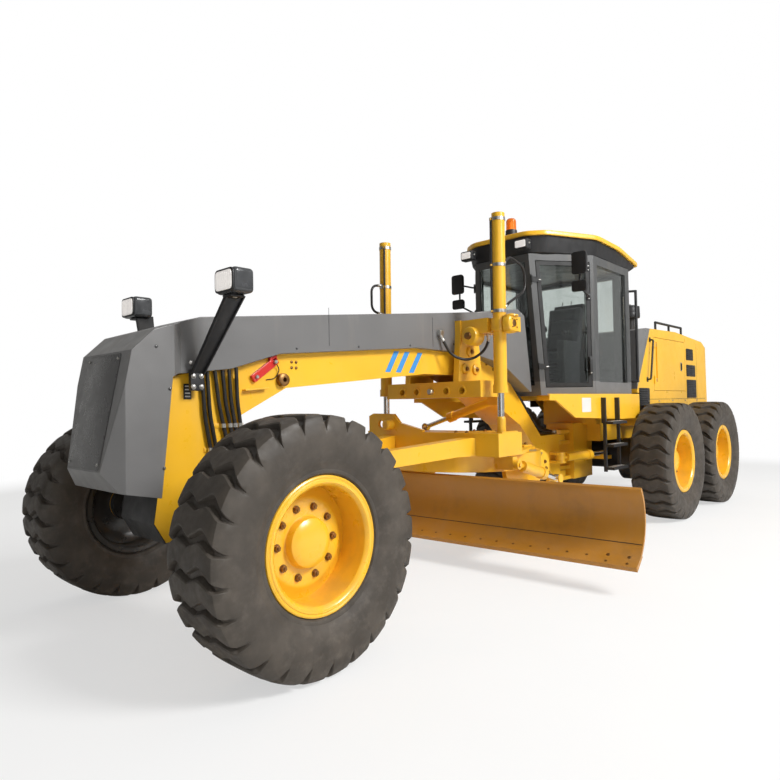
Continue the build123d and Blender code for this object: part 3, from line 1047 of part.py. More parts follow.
def steps_and_rails():
    """The two ladders under the platform, grab rails behind the cab doors and rails on the hood."""
    shapes = []
    stile_front, stile_rear = 4195, 4535
    ladder = fuse(*[side([(back, 640), (back, 1200), (back + 30, 1200), (back + 30, 640)], 850, 880)
                    for back in (stile_front, stile_rear)],
                  *[block(station(stile_front + 5), station(stile_rear + 25), 850, 960, z, z + 28)
                    for z in (660, 900, 1140)])
    hangers = [side([(back, 1150), (back, 1420), (back + 30, 1420), (back + 30, 1150)], 835.3, 880)
               for back in (stile_front, stile_rear)]
    shapes.append(fuse(ladder, *hangers))
    grab = fuse(bar((station(5300), 800, 1600), (station(5300), 800, 2700), 16),
                bar((station(5300), 800, 2690), (station(5252), 700, 2690), 14),
                bar((station(5300), 800, 1610), (station(5252), 700, 1610), 14))
    top = 2420
    posts = [bar((station(back), 640, 2250), (station(back), 640, top), 15) for back in (6350, 6850, 7350)]
    rail = bar((station(6350), 640, top), (station(7350), 640, top), 16)
    shapes.append(fuse(rail, *posts) - hood_solid)
    cab_shape = cab_body()
    shapes.append(grab - cab_shape)
    return shapes


save("rails_and_stacks", *[piece for shape in steps_and_rails() for piece in both(shape)],
     *[shape - hood_solid for shape in stacks()])


LAMP_ARM_FOOT, LAMP_ARM_TOP = (-160.0, COVER_HALF + 22.0, 1600.0), (-75.0, 575.0, 2050.0)     # back, y, z
LAMP_HEAD = (-105.0, 626.0, 2106.0)
LAMP_SIZE, LAMP_SOFT = (140.0, 205.0, 145.0), 24.0


def headlamps():
    """Two lamp heads, each on a flat arm that rises outward from a foot on the cover's side."""
    shapes = []
    for sign in (1, -1):
        ends = []
        for (behind, y, z), half in ((LAMP_ARM_FOOT, 42.0), (LAMP_ARM_TOP, 62.0)):
            ends.append([(station(behind + half), sign * y, z), (station(behind - half), sign * y, z)])
        outline = [ends[0][0], ends[0][1], ends[1][1], ends[1][0]]
        rise = Vector(*ends[1][0]) - Vector(*ends[0][0])
        across = Vector(0, sign * rise.Z, -sign * rise.Y).normalized()
        arm = Solid.extrude(Face(Wire.make_polygon(outline, close=True)), across * 12)
        behind, y, z = LAMP_ARM_FOOT
        foot = block(station(behind + 45), station(behind - 45), sign * (COVER_HALF + SEAT), sign * (y + 14),
                     z - 110, z + 22)
        behind, y, z = LAMP_HEAD
        head = block(*[value for centre, size in zip((station(behind), sign * y, z), LAMP_SIZE)
                       for value in (centre - size / 2, centre + size / 2)])
        head = fillet(head.edges(), LAMP_SOFT)
        bracket = block(station(behind + 45), station(behind - 45), sign * (y - 62), sign * (y + 30),
                        z - LAMP_SIZE[2] / 2 - 16, z - LAMP_SIZE[2] / 2 + 1)
        shapes.append(fuse(arm, foot, bracket, head))
    return shapes


save("headlamps", *headlamps())
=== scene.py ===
import math

import bmesh
import bpy
from mathutils import Matrix, Vector

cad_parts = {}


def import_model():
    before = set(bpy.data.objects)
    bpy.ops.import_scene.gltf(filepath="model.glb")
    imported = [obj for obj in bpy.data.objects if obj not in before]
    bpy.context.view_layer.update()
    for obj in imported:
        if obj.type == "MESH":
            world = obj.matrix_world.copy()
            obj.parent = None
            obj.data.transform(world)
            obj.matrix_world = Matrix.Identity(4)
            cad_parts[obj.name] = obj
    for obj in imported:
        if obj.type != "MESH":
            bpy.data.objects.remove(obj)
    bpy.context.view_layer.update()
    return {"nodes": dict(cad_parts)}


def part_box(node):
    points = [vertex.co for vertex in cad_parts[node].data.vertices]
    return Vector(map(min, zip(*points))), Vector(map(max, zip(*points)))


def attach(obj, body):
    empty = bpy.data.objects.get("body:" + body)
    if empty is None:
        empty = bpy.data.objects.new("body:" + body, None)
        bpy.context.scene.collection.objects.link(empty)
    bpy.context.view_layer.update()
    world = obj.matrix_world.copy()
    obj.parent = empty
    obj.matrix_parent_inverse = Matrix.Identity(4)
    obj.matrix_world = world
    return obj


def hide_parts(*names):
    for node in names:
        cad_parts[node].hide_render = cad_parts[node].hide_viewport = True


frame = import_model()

# Motor grader: finishes, tyres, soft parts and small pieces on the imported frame.
# Metres, +X forward, +Y to the machine's left, +Z up. Places along the machine are distances behind the front axle.

X, Y, Z = Vector((1, 0, 0)), Vector((0, 1, 0)), Vector((0, 0, 1))
SIDES = (("left", 1), ("right", -1))


def centre_of(node):
    low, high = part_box(node)
    return (low + high) / 2


AXLE_X = centre_of("front_left_tyre").x


def back(distance):
    """x of a place this far behind the front axle."""
    return AXLE_X - distance


def at(distance, y, z):
    """A place this far behind the front axle."""
    return Vector((back(distance), y, z))


def around(count, radius, turn=0.5):
    """Places spaced evenly round a circle, starting a share of a step on: angle, cosine and sine by the radius."""
    for k in range(count):
        angle = 2 * math.pi * (k + turn) / count
        yield angle, radius * math.cos(angle), radius * math.sin(angle)


def tilted(degrees, axis="Y"):
    """A rotation matrix about one axis."""
    return Matrix.Rotation(math.radians(degrees), 3, axis)


# ---------------------------------------------------------------- materials
class Nodes:
    """A node tree of a material or world under construction."""

    def __init__(self, owner, output="ShaderNodeOutputMaterial"):
        self.owner = owner
        owner.use_nodes = True
        self.tree = owner.node_tree
        self.tree.nodes.clear()
        self.out = self.add(output)
        self.place = self.add("ShaderNodeTexCoord").outputs["Object"]

    def add(self, kind, **settings):
        node = self.tree.nodes.new(kind)
        for key, value in settings.items():
            setattr(node, key, value)
        return node

    def link(self, source, target):
        self.tree.links.new(source, target)

    def noise(self, scale, detail=4.0, rough=0.55, stretch=(1, 1, 1)):
        """Soft noise between about 0.3 and 0.7, stretched along the object's axes."""
        mapping = self.add("ShaderNodeMapping")
        mapping.inputs["Scale"].default_value = stretch
        self.link(self.place, mapping.inputs["Vector"])
        node = self.add("ShaderNodeTexNoise")
        for key, value in (("Scale", scale), ("Detail", detail), ("Roughness", rough)):
            node.inputs[key].default_value = value
        self.link(mapping.outputs["Vector"], node.inputs["Vector"])
        return node.outputs["Fac"]

    def ramp(self, value, low, high, to_low=0.0, to_high=1.0, smooth=True):
        """value taken from low..high to to_low..to_high, and clamped."""
        node = self.add("ShaderNodeMapRange", interpolation_type="SMOOTHSTEP" if smooth else "LINEAR")
        for key, number in (("From Min", low), ("From Max", high), ("To Min", to_low), ("To Max", to_high)):
            node.inputs[key].default_value = number
        self.link(value, node.inputs["Value"])
        return node.outputs["Result"]

    def maths(self, operation, first, second):
        node = self.add("ShaderNodeMath", operation=operation)
        for socket, value in zip(node.inputs, (first, second)):
            if isinstance(value, (int, float)):
                socket.default_value = value
            else:
                self.link(value, socket)
        return node.outputs["Value"]

    def times(self, first, second):
        return self.maths("MULTIPLY", first, second)

    def mix(self, share, first, second):
        """Colour between two colours or sockets."""
        node = self.add("ShaderNodeMix", data_type="RGBA")
        self.link(share, node.inputs["Factor"])
        for socket, value in ((node.inputs[6], first), (node.inputs[7], second)):
            if isinstance(value, tuple):
                socket.default_value = (*value, 1.0)
            else:
                self.link(value, socket)
        return node.outputs[2]

    def blend_shaders(self, share, first, second):
        """Two shaders mixed and sent to the output."""
        node = self.add("ShaderNodeMixShader")
        for source, socket in zip((share, first, second), node.inputs):
            self.link(source, socket)
        self.link(node.outputs["Shader"], self.out.inputs["Surface"])

    def seen_directly(self):
        """1 for rays from the camera, also through glass, 0 for the light that falls on things."""
        path = self.add("ShaderNodeLightPath")
        return self.maths("MAXIMUM", path.outputs["Is Camera Ray"], path.outputs["Is Transmission Ray"])

    def axis(self, which, source=None):
        node = self.add("ShaderNodeSeparateXYZ")
        self.link(source or self.place, node.inputs["Vector"])
        return node.outputs[which]

    def above(self, limit, source, direction):
        """1 where a vector reaches past a limit along a direction, 0 elsewhere."""
        node = self.add("ShaderNodeVectorMath", operation="DOT_PRODUCT")
        self.link(source, node.inputs[0])
        node.inputs[1].default_value = direction
        return self.maths("GREATER_THAN", node.outputs["Value"], limit)

    def facing_up(self):
        """1 on surfaces that face up, 0 on walls."""
        return self.ramp(self.axis("Z", self.add("ShaderNodeNewGeometry").outputs["Normal"]), 0.35, 0.95)

    def bump(self, height, strength, distance):
        node = self.add("ShaderNodeBump")
        node.inputs["Strength"].default_value = strength
        node.inputs["Distance"].default_value = distance
        self.link(height, node.inputs["Height"])
        return node.outputs["Normal"]

    def surface(self, colour, rough, normal, **fixed):
        """The shader: linked colour, roughness and normal, and fixed values by socket name."""
        node = self.add("ShaderNodeBsdfPrincipled")
        for key, source in (("Base Color", colour), ("Roughness", rough), ("Normal", normal)):
            self.link(source, node.inputs[key])
        for key, value in fixed.items():
            node.inputs[key.replace("_", " ")].default_value = value
        self.link(node.outputs["BSDF"], self.out.inputs["Surface"])
        return self.owner


def material_nodes(name):
    return Nodes(bpy.data.materials.new(name))


def shade(colour, share):
    return tuple(min(1.0, channel * share) for channel in colour)


def paint(name, colour, gloss=0.32, dust=(0.42, 0.36, 0.28), dusty=0.10, grime=(0.10, 0.06, 0.03), grimy=0.18,
          coat=0.35, peel=0.05, other=None, plane=None, inside=None, **fixed):
    """Sprayed enamel: slow colour drift, orange peel, dust on top faces and in streaks, thin grime in patches low down.
    With another colour, that one is used on the side of the plane its direction points to, and on faces that face
    along the inside direction."""
    n = material_nodes(name)
    drift = n.ramp(n.noise(1.1, 3), 0.35, 0.65)
    colour_now = n.mix(drift, shade(colour, 0.93), shade(colour, 1.04))
    if other:
        direction, distance = plane
        share = n.above(distance, n.place, direction)
        if inside:
            normal = n.add("ShaderNodeTexCoord").outputs["Normal"]
            share = n.maths("MAXIMUM", share, n.above(0.3, normal, inside))
        colour_now = n.mix(share, colour_now, other)
    low_down = n.ramp(n.axis("Z"), 1.5, 0.4, 0.15, 1.0)
    patches = n.ramp(n.noise(2.6, 8, 0.62), 0.50, 0.74)
    colour_now = n.mix(n.times(n.times(patches, low_down), grimy), colour_now, grime)
    settled = n.times(n.facing_up(), n.ramp(n.noise(5.0, 6), 0.40, 0.66))
    streaks = n.ramp(n.noise(7.0, 5, 0.6, (1, 1, 0.12)), 0.52, 0.72)
    cover = n.maths("ADD", settled, n.times(streaks, 0.5))
    colour_now = n.mix(n.times(cover, dusty), colour_now, dust)
    rough = n.maths("ADD", n.ramp(n.noise(9.0, 6), 0.3, 0.7, gloss - 0.05, gloss + 0.09), n.times(cover, 0.12))
    return n.surface(colour_now, rough, n.bump(n.noise(170.0, 2), peel, 0.0012), Specular_IOR_Level=0.5,
                     Coat_Weight=coat, Coat_Roughness=0.18, **fixed)


def rubber(name, colour, dust, gloss=0.62, grain=320.0, strength=0.25, dusty=0.55):
    """Moulded rubber: fine grain, dust that lies lighter in broad patches."""
    n = material_nodes(name)
    colour_now = n.mix(n.ramp(n.noise(6.0, 5), 0.35, 0.68), shade(colour, 0.78), shade(colour, 1.2))
    scuffs = n.ramp(n.noise(14.0, 8, 0.65), 0.46, 0.72)
    broad = n.ramp(n.noise(2.2, 3), 0.36, 0.64)
    colour_now = n.mix(n.times(n.times(scuffs, broad), dusty), colour_now, dust)
    rough = n.ramp(n.noise(20.0, 6), 0.3, 0.7, gloss - 0.08, gloss + 0.12)
    height = n.maths("ADD", n.noise(grain, 3), n.times(n.noise(34.0, 5), 1.4))
    return n.surface(colour_now, rough, n.bump(height, strength, 0.0018), Specular_IOR_Level=0.42)


def metal(name, colour, gloss, grain=(1, 1, 1), vary=0.12, stained=0.2):
    """Bare or plated metal with faint drawn lines and a few brown stains."""
    n = material_nodes(name)
    colour_now = n.mix(n.ramp(n.noise(5.0, 4), 0.35, 0.65), shade(colour, 1 - vary), shade(colour, 1 + vary / 2))
    stains = n.ramp(n.noise(11.0, 8, 0.65), 0.52, 0.72)
    colour_now = n.mix(n.times(stains, stained), colour_now, (0.10, 0.07, 0.05))
    lines = n.noise(90.0, 3, 0.6, grain)
    rough = n.maths("ADD", n.ramp(lines, 0.3, 0.7, gloss - 0.04, gloss + 0.08), n.times(stains, 0.2))
    return n.surface(colour_now, rough, n.bump(lines, 0.05, 0.0006), Metallic=1.0)


def plastic(name, colour, gloss=0.45, strength=0.12, dusty=0.12):
    """Moulded or powder coated black: fine leather grain, dust on top faces."""
    n = material_nodes(name)
    colour_now = n.mix(n.ramp(n.noise(3.0, 5), 0.35, 0.68), shade(colour, 0.8), shade(colour, 1.25))
    settled = n.times(n.facing_up(), n.ramp(n.noise(7.0, 6), 0.38, 0.66))
    streaks = n.ramp(n.noise(9.0, 6, 0.6, (1, 1, 0.2)), 0.54, 0.74)
    cover = n.maths("ADD", settled, n.times(streaks, 0.5))
    colour_now = n.mix(n.times(cover, dusty), colour_now, (0.30, 0.27, 0.23))
    rough = n.ramp(n.noise(12.0, 5), 0.3, 0.7, gloss - 0.07, gloss + 0.1)
    return n.surface(colour_now, rough, n.bump(n.noise(240.0, 2), strength, 0.0012), Specular_IOR_Level=0.5)


def glazing(name, tint, gloss=0.03, clear=1.0):
    """Tinted glass with faint wiping marks."""
    n = material_nodes(name)
    marks = n.ramp(n.noise(3.0, 6, 0.6, (1, 1, 0.5)), 0.45, 0.75)
    rough = n.maths("ADD", n.times(marks, 0.05), gloss)
    return n.surface(n.mix(marks, tint, shade(tint, 0.9)), rough, n.bump(n.noise(2.0, 2), 0.02, 0.0008),
                     Transmission_Weight=clear, IOR=1.45, Specular_IOR_Level=0.5)


def fabric(name, colour, other):
    """Woven seat cloth: two thread directions, slight mottling."""
    n = material_nodes(name)
    weave = n.times(n.noise(420.0, 1, 0.5, (1, 0.15, 1)), n.noise(420.0, 1, 0.5, (0.15, 1, 1)))
    colour_now = n.mix(n.ramp(weave, 0.16, 0.34), colour, other)
    colour_now = n.mix(n.ramp(n.noise(8.0, 5), 0.45, 0.75, 0, 0.4), colour_now, shade(colour, 1.6))
    rough = n.ramp(n.noise(30.0, 4), 0.3, 0.7, 0.78, 0.92)
    return n.surface(colour_now, rough, n.bump(weave, 0.12, 0.0008), Sheen_Weight=0.25, Sheen_Roughness=0.5)


YELLOW_TONE = (0.87, 0.475, 0.022)
GREY_TONE = (0.155, 0.153, 0.152)
SOOT, PALE_SOOT = (0.05, 0.05, 0.05), (0.04, 0.04, 0.04)
POST_FOOT = 1.600               # the cab's frame is darker above this height
HOOD_SPLIT = (1.0, 0, 0.596)    # the grey front of the engine cover ends on a plane leaning back
HOOD_SPLIT_BACK, HOOD_SPLIT_Z = 5.375, 1.482

YELLOW = paint("enamel_yellow", YELLOW_TONE)
YELLOW_CAST = paint("enamel_yellow_castings", shade(YELLOW_TONE, 0.97), gloss=0.38, peel=0.16, grimy=0.30)
# The mouldboard's yellow is darker and browner than the rest: painted shade for its place under the machine.
BLADE = paint("mouldboard_enamel_painted_shade", (0.47, 0.205, 0.020), gloss=0.40, grimy=0.30, dusty=0.08, coat=0.15)
HOOD = paint("enamel_yellow_hood", YELLOW_TONE, other=GREY_TONE,
             plane=(HOOD_SPLIT, back(HOOD_SPLIT_BACK) + HOOD_SPLIT[2] * HOOD_SPLIT_Z))
# Each rim's inboard half and its inward faces are painted near black: painted shade for the shadow the machine casts on
# the wheels' inner sides.
RIM = {sign: paint(f"rim_enamel_shaded_inside_{name}", YELLOW_TONE, gloss=0.30, grimy=0.22, other=(0.020, 0.018, 0.016),
                   plane=((0, -sign, 0), 0.020), inside=(0, -sign, 0)) for name, sign in SIDES}
GREY = paint("enamel_grey", GREY_TONE, gloss=0.36, grime=SOOT, dusty=0.14, coat=0.25)
# NOSE_DARK is the grey painted darker: painted shade for the nose's front face, which light from above leaves in shade.
# The nose's side nuts use it too.
NOSE_DARK = paint("grey_enamel_and_painted_shade", shade(GREY_TONE, 0.42), gloss=0.26, grime=PALE_SOOT, dusty=0.12, coat=0.25)
CAB_GREY = paint("enamel_grey_cab", GREY_TONE, gloss=0.36, grime=SOOT, dusty=0.12, coat=0.25,
                 other=(0.070, 0.072, 0.072), plane=((0, 0, 1), POST_FOOT))
RED = paint("lock_bar_red", (0.62, 0.018, 0.012), gloss=0.30)
BLUE = paint("stripe_blue", (0.045, 0.28, 0.66), gloss=0.34, dusty=0.05, peel=0.02)
LABEL = paint("plate_pale", (0.66, 0.65, 0.62), gloss=0.45, grimy=0.1, coat=0.0)
# BOWL is pale paint where a lamp's metal reflector would be: a painted reflection of the bright surroundings.
BOWL = paint("lamp_bowl", (0.82, 0.80, 0.76), gloss=0.14, grimy=0.05, dusty=0.0)
# LENS is pale and glows faintly though the lamps are off: a painted highlight for the bright surroundings its glass
# would reflect.
LENS = paint("lamp_lens", (0.84, 0.83, 0.80), gloss=0.10, grimy=0.04, dusty=0.0, coat=0.9,
             Emission_Color=(1.0, 0.93, 0.90, 1.0), Emission_Strength=0.38)
# BLACK is the black coating of lamps, mirrors and vents, and also painted shade on the front axle, its knuckles and the
# sheets under the nose.
BLACK = plastic("black_coating_and_painted_shade", (0.016, 0.016, 0.017))
DARK = plastic("cab_moulding", (0.045, 0.047, 0.050), gloss=0.6, strength=0.25)
LINING = plastic("cab_lining", (0.055, 0.057, 0.060), gloss=0.7, strength=0.3)
SHELL = plastic("lamp_shell", (0.050, 0.052, 0.055), gloss=0.22, strength=0.03, dusty=0.05)
SEAL = rubber("window_seal", (0.012, 0.012, 0.012), SOOT, gloss=0.5, dusty=0.2)
HOSE = rubber("hose_rubber", (0.014, 0.012, 0.011), (0.09, 0.08, 0.07), gloss=0.42, dusty=0.25, grain=500.0)
TYRE = rubber("tyre_rubber", (0.060, 0.050, 0.040), (0.17, 0.145, 0.12), gloss=0.54, strength=0.16, dusty=0.30)
MAT = rubber("floor_rubber", (0.02, 0.02, 0.02), (0.10, 0.09, 0.08), gloss=0.7)
CHROME = metal("plated_rod", (0.78, 0.77, 0.75), 0.12, (1, 1, 0.05), vary=0.05, stained=0.08)
STEEL = metal("zinc_steel", (0.62, 0.61, 0.58), 0.30, stained=0.25)
IRON = metal("oiled_iron", (0.12, 0.105, 0.09), 0.48, stained=0.5)
STUD = metal("bronzed_stud", (0.30, 0.16, 0.06), 0.40, stained=0.5)
MIRROR = metal("mirror_glass", (0.80, 0.83, 0.85), 0.06, vary=0.02, stained=0.03)
GLASS = glazing("cab_glazing", (0.70, 0.74, 0.72))
AMBER = glazing("beacon_amber", (0.95, 0.25, 0.02), gloss=0.12, clear=0.55)
RED_LENS = glazing("tail_lens", (0.70, 0.02, 0.015), gloss=0.10, clear=0.4)
DISPLAY = glazing("gauge_glass", (0.05, 0.06, 0.07), gloss=0.08, clear=0.1)
SEAT_CLOTH = fabric("seat_cloth", (0.022, 0.024, 0.028), (0.05, 0.052, 0.058))


# ---------------------------------------------------------------- mesh building
def perpendicular(direction):
    """Two unit vectors square to a direction."""
    direction = direction.normalized()
    first = direction.cross(Z if abs(direction.z) < 0.9 else X).normalized()
    return first, direction.cross(first)


def rounded(points, radius, steps=4):
    """A closed flat outline with each corner drawn as an arc of about this radius."""
    count, result = len(points), []
    for i, point in enumerate(points):
        here = Vector(point)
        before, after = Vector(points[i - 1]) - here, Vector(points[(i + 1) % count]) - here
        reach = min(radius, before.length * 0.45, after.length * 0.45)
        start, end = here + before.normalized() * reach, here + after.normalized() * reach
        for k in range(steps + 1):
            t = k / steps
            result.append((1 - t) ** 2 * start + 2 * t * (1 - t) * here + t * t * end)
    return result


def smooth_path(points, steps=8):
    """A smooth curve through the points, as a list of points."""
    points = [Vector(p) for p in points]
    padded = [points[0] * 2 - points[1]] + points + [points[-1] * 2 - points[-2]]
    result = []
    for i in range(1, len(padded) - 2):
        a, b, c, d = padded[i - 1:i + 3]
        for k in range(steps):
            t = k / steps
            result.append(0.5 * ((2 * b) + (c - a) * t + (2 * a - 5 * b + 4 * c - d) * t ** 2
                                 + (3 * b - a - 3 * c + d) * t ** 3))
    return result + [points[-1]]


def route(points, bends, step=0.012):
    """The points of straight runs joined by tangent arcs with these radii."""
    points = [Vector(p) for p in points]
    result = [points[0]]
    for i, bend in enumerate(bends, 1):
        here = points[i]
        before, after = (points[i - 1] - here).normalized(), (points[i + 1] - here).normalized()
        half = before.angle(after) / 2
        reach = bend / math.tan(half)
        centre = here + (before + after).normalized() * (bend / math.sin(half))
        first, second = here + before * reach - centre, here + after * reach - centre
        sweep = first.angle(second)
        count = max(2, round(sweep * bend / step))
        for k in range(count + 1):
            t = k / count
            result.append(centre + (first * math.sin((1 - t) * sweep) + second * math.sin(t * sweep)) / math.sin(sweep))
    return result + [points[-1]]


def mesh_data(mesh, name, *materials):
    """A finished mesh with its materials."""
    data = bpy.data.meshes.new(name)
    mesh.to_mesh(data)
    mesh.free()
    for material in materials:
        data.materials.append(material)
    return data


def place_mesh(name, data, body, replaced=(), sharp=40.0, where=None):
    """An object with this mesh, smooth up to an angle, on its body."""
    data.polygons.foreach_set("use_smooth", [True] * len(data.polygons))
    data.set_sharp_from_angle(angle=math.radians(sharp))
    piece = bpy.data.objects.new(name, data)
    bpy.context.scene.collection.objects.link(piece)
    if where is not None:
        piece.matrix_world = where
    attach(piece, body)
    if replaced:
        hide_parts(*replaced)


class Piece:
    """A mesh piece built from rounded blocks, plates, turned shapes and tubes, each in one of its materials."""

    def __init__(self, name, body, slot, *materials):
        self.name, self.body, self.slot, self.materials = name, body, slot, materials
        self.mesh = bmesh.new()

    def _paint(self, faces, material):
        for face in faces:
            face.material_index = self.materials.index(material)

    def _bevel(self, edges, size, segments, material):
        made = bmesh.ops.bevel(self.mesh, geom=edges, offset=size, segments=segments, profile=0.6,
                               affect="EDGES", clamp_overlap=True)
        self._paint(made["faces"], material)

    def block(self, centre, size, soft, material, segments=2, turn=None):
        """A box with rounded edges, turned by a rotation matrix about its centre."""
        turn = turn or Matrix.Identity(3)
        place = Matrix.Translation(Vector(centre)) @ turn.to_4x4() @ Matrix.Diagonal((*size, 1))
        verts = bmesh.ops.create_cube(self.mesh, size=1, matrix=place)["verts"]
        edges = list({edge for vert in verts for edge in vert.link_edges})
        self._paint({face for vert in verts for face in vert.link_faces}, material)
        if soft:
            self._bevel(edges, min(soft, min(size) * 0.45), segments, material)

    def plate(self, outline, push, soft, material):
        """A flat outline of points in the row frame, pushed along a vector, its edges eased."""
        push = Vector(push)
        low = [self.mesh.verts.new(Vector(p)) for p in outline]
        high = [self.mesh.verts.new(Vector(p) + push) for p in outline]
        count = len(outline)
        faces = [self.mesh.faces.new(low), self.mesh.faces.new(list(reversed(high)))]
        faces += [self.mesh.faces.new((low[i], high[i], high[(i + 1) % count], low[(i + 1) % count]))
                  for i in range(count)]
        bmesh.ops.recalc_face_normals(self.mesh, faces=faces)
        self._paint(faces, material)
        if soft:
            rims = list(set(faces[0].edges) | set(faces[1].edges))
            self._bevel(rims, min(soft, push.length * 0.4), 2, material)

    def panel(self, centre, across, up, width, height, push, radius, material, soft=0.0015, steps=5):
        """A flat plate with round corners, centred on a point, its face spanned by two unit vectors."""
        corners = [Vector(centre) + across * (i * width / 2) + up * (j * height / 2)
                   for i, j in ((-1, -1), (1, -1), (1, 1), (-1, 1))]
        self.plate(rounded(corners, radius, steps), push, soft, material)

    def turned(self, profile, origin, axis, steps, material, phase=0.0):
        """An outline of (distance along the axis, radius) turned about the axis; radius 0 closes it."""
        axis, origin, rings = Vector(axis).normalized(), Vector(origin), []
        side, up = perpendicular(axis)
        for along, radius in profile:
            centre = origin + axis * along
            if radius < 1e-6:
                rings.append([self.mesh.verts.new(centre)])
                continue
            angles = [2 * math.pi * k / steps + phase for k in range(steps)]
            rings.append([self.mesh.verts.new(centre + (side * math.cos(angle) + up * math.sin(angle)) * radius)
                          for angle in angles])
        faces = []
        for first, second in zip(rings, rings[1:]):
            for k in range(steps):
                corners = [first[k % len(first)], first[(k + 1) % len(first)],
                           second[(k + 1) % len(second)], second[k % len(second)]]
                corners = list(dict.fromkeys(corners))
                if len(corners) > 2:
                    faces.append(self.mesh.faces.new(corners))
        bmesh.ops.recalc_face_normals(self.mesh, faces=faces)
        self._paint(faces, material)

    def rod(self, start, end, radius, material, steps=24):
        """A round bar with eased ends."""
        start, end = Vector(start), Vector(end)
        length = (end - start).length
        soft = min(radius * 0.3, length * 0.3, 0.004)
        self.turned([(0, 0), (0, radius - soft), (soft, radius), (length - soft, radius), (length, radius - soft),
                     (length, 0)], start, end - start, steps, material)

    def tube(self, points, radius, material, steps=12, flat=1.0):
        """A round or flattened tube that follows a list of points, closed at both ends."""
        points = [Vector(p) for p in points]
        rings, side = [], None
        for i, point in enumerate(points):
            ahead = (points[min(i + 1, len(points) - 1)] - points[max(i - 1, 0)]).normalized()
            side = perpendicular(ahead)[0] if side is None else (side - ahead * side.dot(ahead)).normalized()
            up = ahead.cross(side) * flat
            rings.append([self.mesh.verts.new(point + side * cosine + up * sine)
                          for _angle, cosine, sine in around(steps, radius, 0)])
        faces = [self.mesh.faces.new((a[k], a[(k + 1) % steps], b[(k + 1) % steps], b[k]))
                 for a, b in zip(rings, rings[1:]) for k in range(steps)]
        faces += [self.mesh.faces.new(list(reversed(rings[0]))), self.mesh.faces.new(rings[-1])]
        self._paint(faces, material)

    def nut(self, origin, axis, across, height, material=None, washer=True, phase=0.0):
        """A hexagon nut or bolt head with chamfered corners on a washer, and the stud's end."""
        material, radius = material or STUD, across / math.sqrt(3)
        if washer:
            self.turned([(0, 0), (0, radius * 1.25), (height * 0.16, radius * 1.25), (height * 0.16, 0)],
                        origin, axis, 18, material)
        self.turned([(height * 0.1, 0), (height * 0.1, radius), (height * 0.88, radius), (height, radius * 0.84),
                     (height, 0)], origin, axis, 6, material, phase)
        self.turned([(height * 0.9, 0), (height * 0.9, radius * 0.5), (height * 1.25, radius * 0.5),
                     (height * 1.35, radius * 0.4), (height * 1.35, 0)], origin, axis, 12, material)

    def nuts(self, places, *shape, **more):
        """The same nut at several places."""
        for place in places:
            self.nut(place, *shape, **more)

    def finish(self, *replaced, sharp=40.0):
        """The object, on its body."""
        bmesh.ops.remove_doubles(self.mesh, verts=self.mesh.verts, dist=1e-6)
        data = mesh_data(self.mesh, self.name, *self.materials)
        place_mesh(self.name, data, self.body, replaced, sharp)




# ---------------------------------------------------------------- the frame's own nodes
FINISH = {}                     # * stands for each side; all other nodes are yellow
for finish, names in (
        (YELLOW_CAST, "saddle blade_bracket lean_bar"), (BLADE, "blade"), (GREY, "nose_cover"), (HOOD, "engine_hood"),
        (CAB_GREY, "cab_body"), (DARK, "seat steering_console"), (HOSE, "hoses"), (STEEL, "tie_rod"),
        # The front axle and the lean and steering knuckles are black as painted shade: they sit in deep shadow under
        # the nose.
        (BLACK, "front_axle tandem_axle rails_and_stacks lean_knuckle_* steering_knuckle_* headlamps roof_lamps "
                "mirror_*"),
        (CHROME, "tilt_rod shift_rod lift_rod_* articulation_rod_*"), (IRON, "engine_block tie_rod_end"),
        (GLASS, "cab_glass door_glass_*"), (SEAL, "cab_door_*"), (TYRE, "front_*_tyre middle_*_tyre rear_*_tyre")):
    for node_name in names.split():
        FINISH.update({node_name.replace("*", side_name): finish for side_name, _sign in SIDES})
# width of the eased edges and the least angle between faces that gets one
SOFT_EDGE = {"nose_cover": (0.018, 16), "saddle": (0.012, 30), "blade_bracket": (0.007, 30), "drawbar": (0.007, 30),
             "rear_frame": (0.006, 25), "front_axle": (0.012, 25), "engine_hood": (0.010, 14),
             "front_frame": (0.006, 12), "blade": (0.003, 40), "cab_body": (0.008, 12), "cab_roof": (0.010, 30)}
USUAL_EDGE = (0.004, 30)
KEEP_FACETS = ("nose_cover",)   # merging its nearly flat faces would bend it


def dress_frame():
    """A finish and eased edges for every node of the frame."""
    for name, node in frame["nodes"].items():
        material = FINISH.get(name, YELLOW)
        for index in range(len(node.data.materials)):
            node.material_slots[index].link = "OBJECT"
            node.material_slots[index].material = material
        smooth = "glass" not in name
        node.modifiers.new("weld", "WELD").merge_threshold = 2e-5
        if name not in KEEP_FACETS:
            flat = node.modifiers.new("flat", "DECIMATE")
            flat.decimate_type, flat.angle_limit = "DISSOLVE", math.radians(1.0)
        if smooth:
            width, angle = SOFT_EDGE.get(name, USUAL_EDGE)
            bevel = node.modifiers.new("edges", "BEVEL")
            bevel.width, bevel.segments, bevel.use_clamp_overlap = width, 3, True
            bevel.limit_method, bevel.angle_limit = "ANGLE", math.radians(angle)
            node.modifiers.new("normals", "WEIGHTED_NORMAL").keep_sharp = False
        node.data.polygons.foreach_set("use_smooth", [smooth] * len(node.data.polygons))
        for key in ("custom_normal", "sharp_edge"):
            attribute = node.data.attributes.get(key)
            if attribute:
                node.data.attributes.remove(attribute)


# ---------------------------------------------------------------- wheels
LUGS = 26
SHOULDER_R = 0.6                # grooves cut inward from the tread only outside this radius
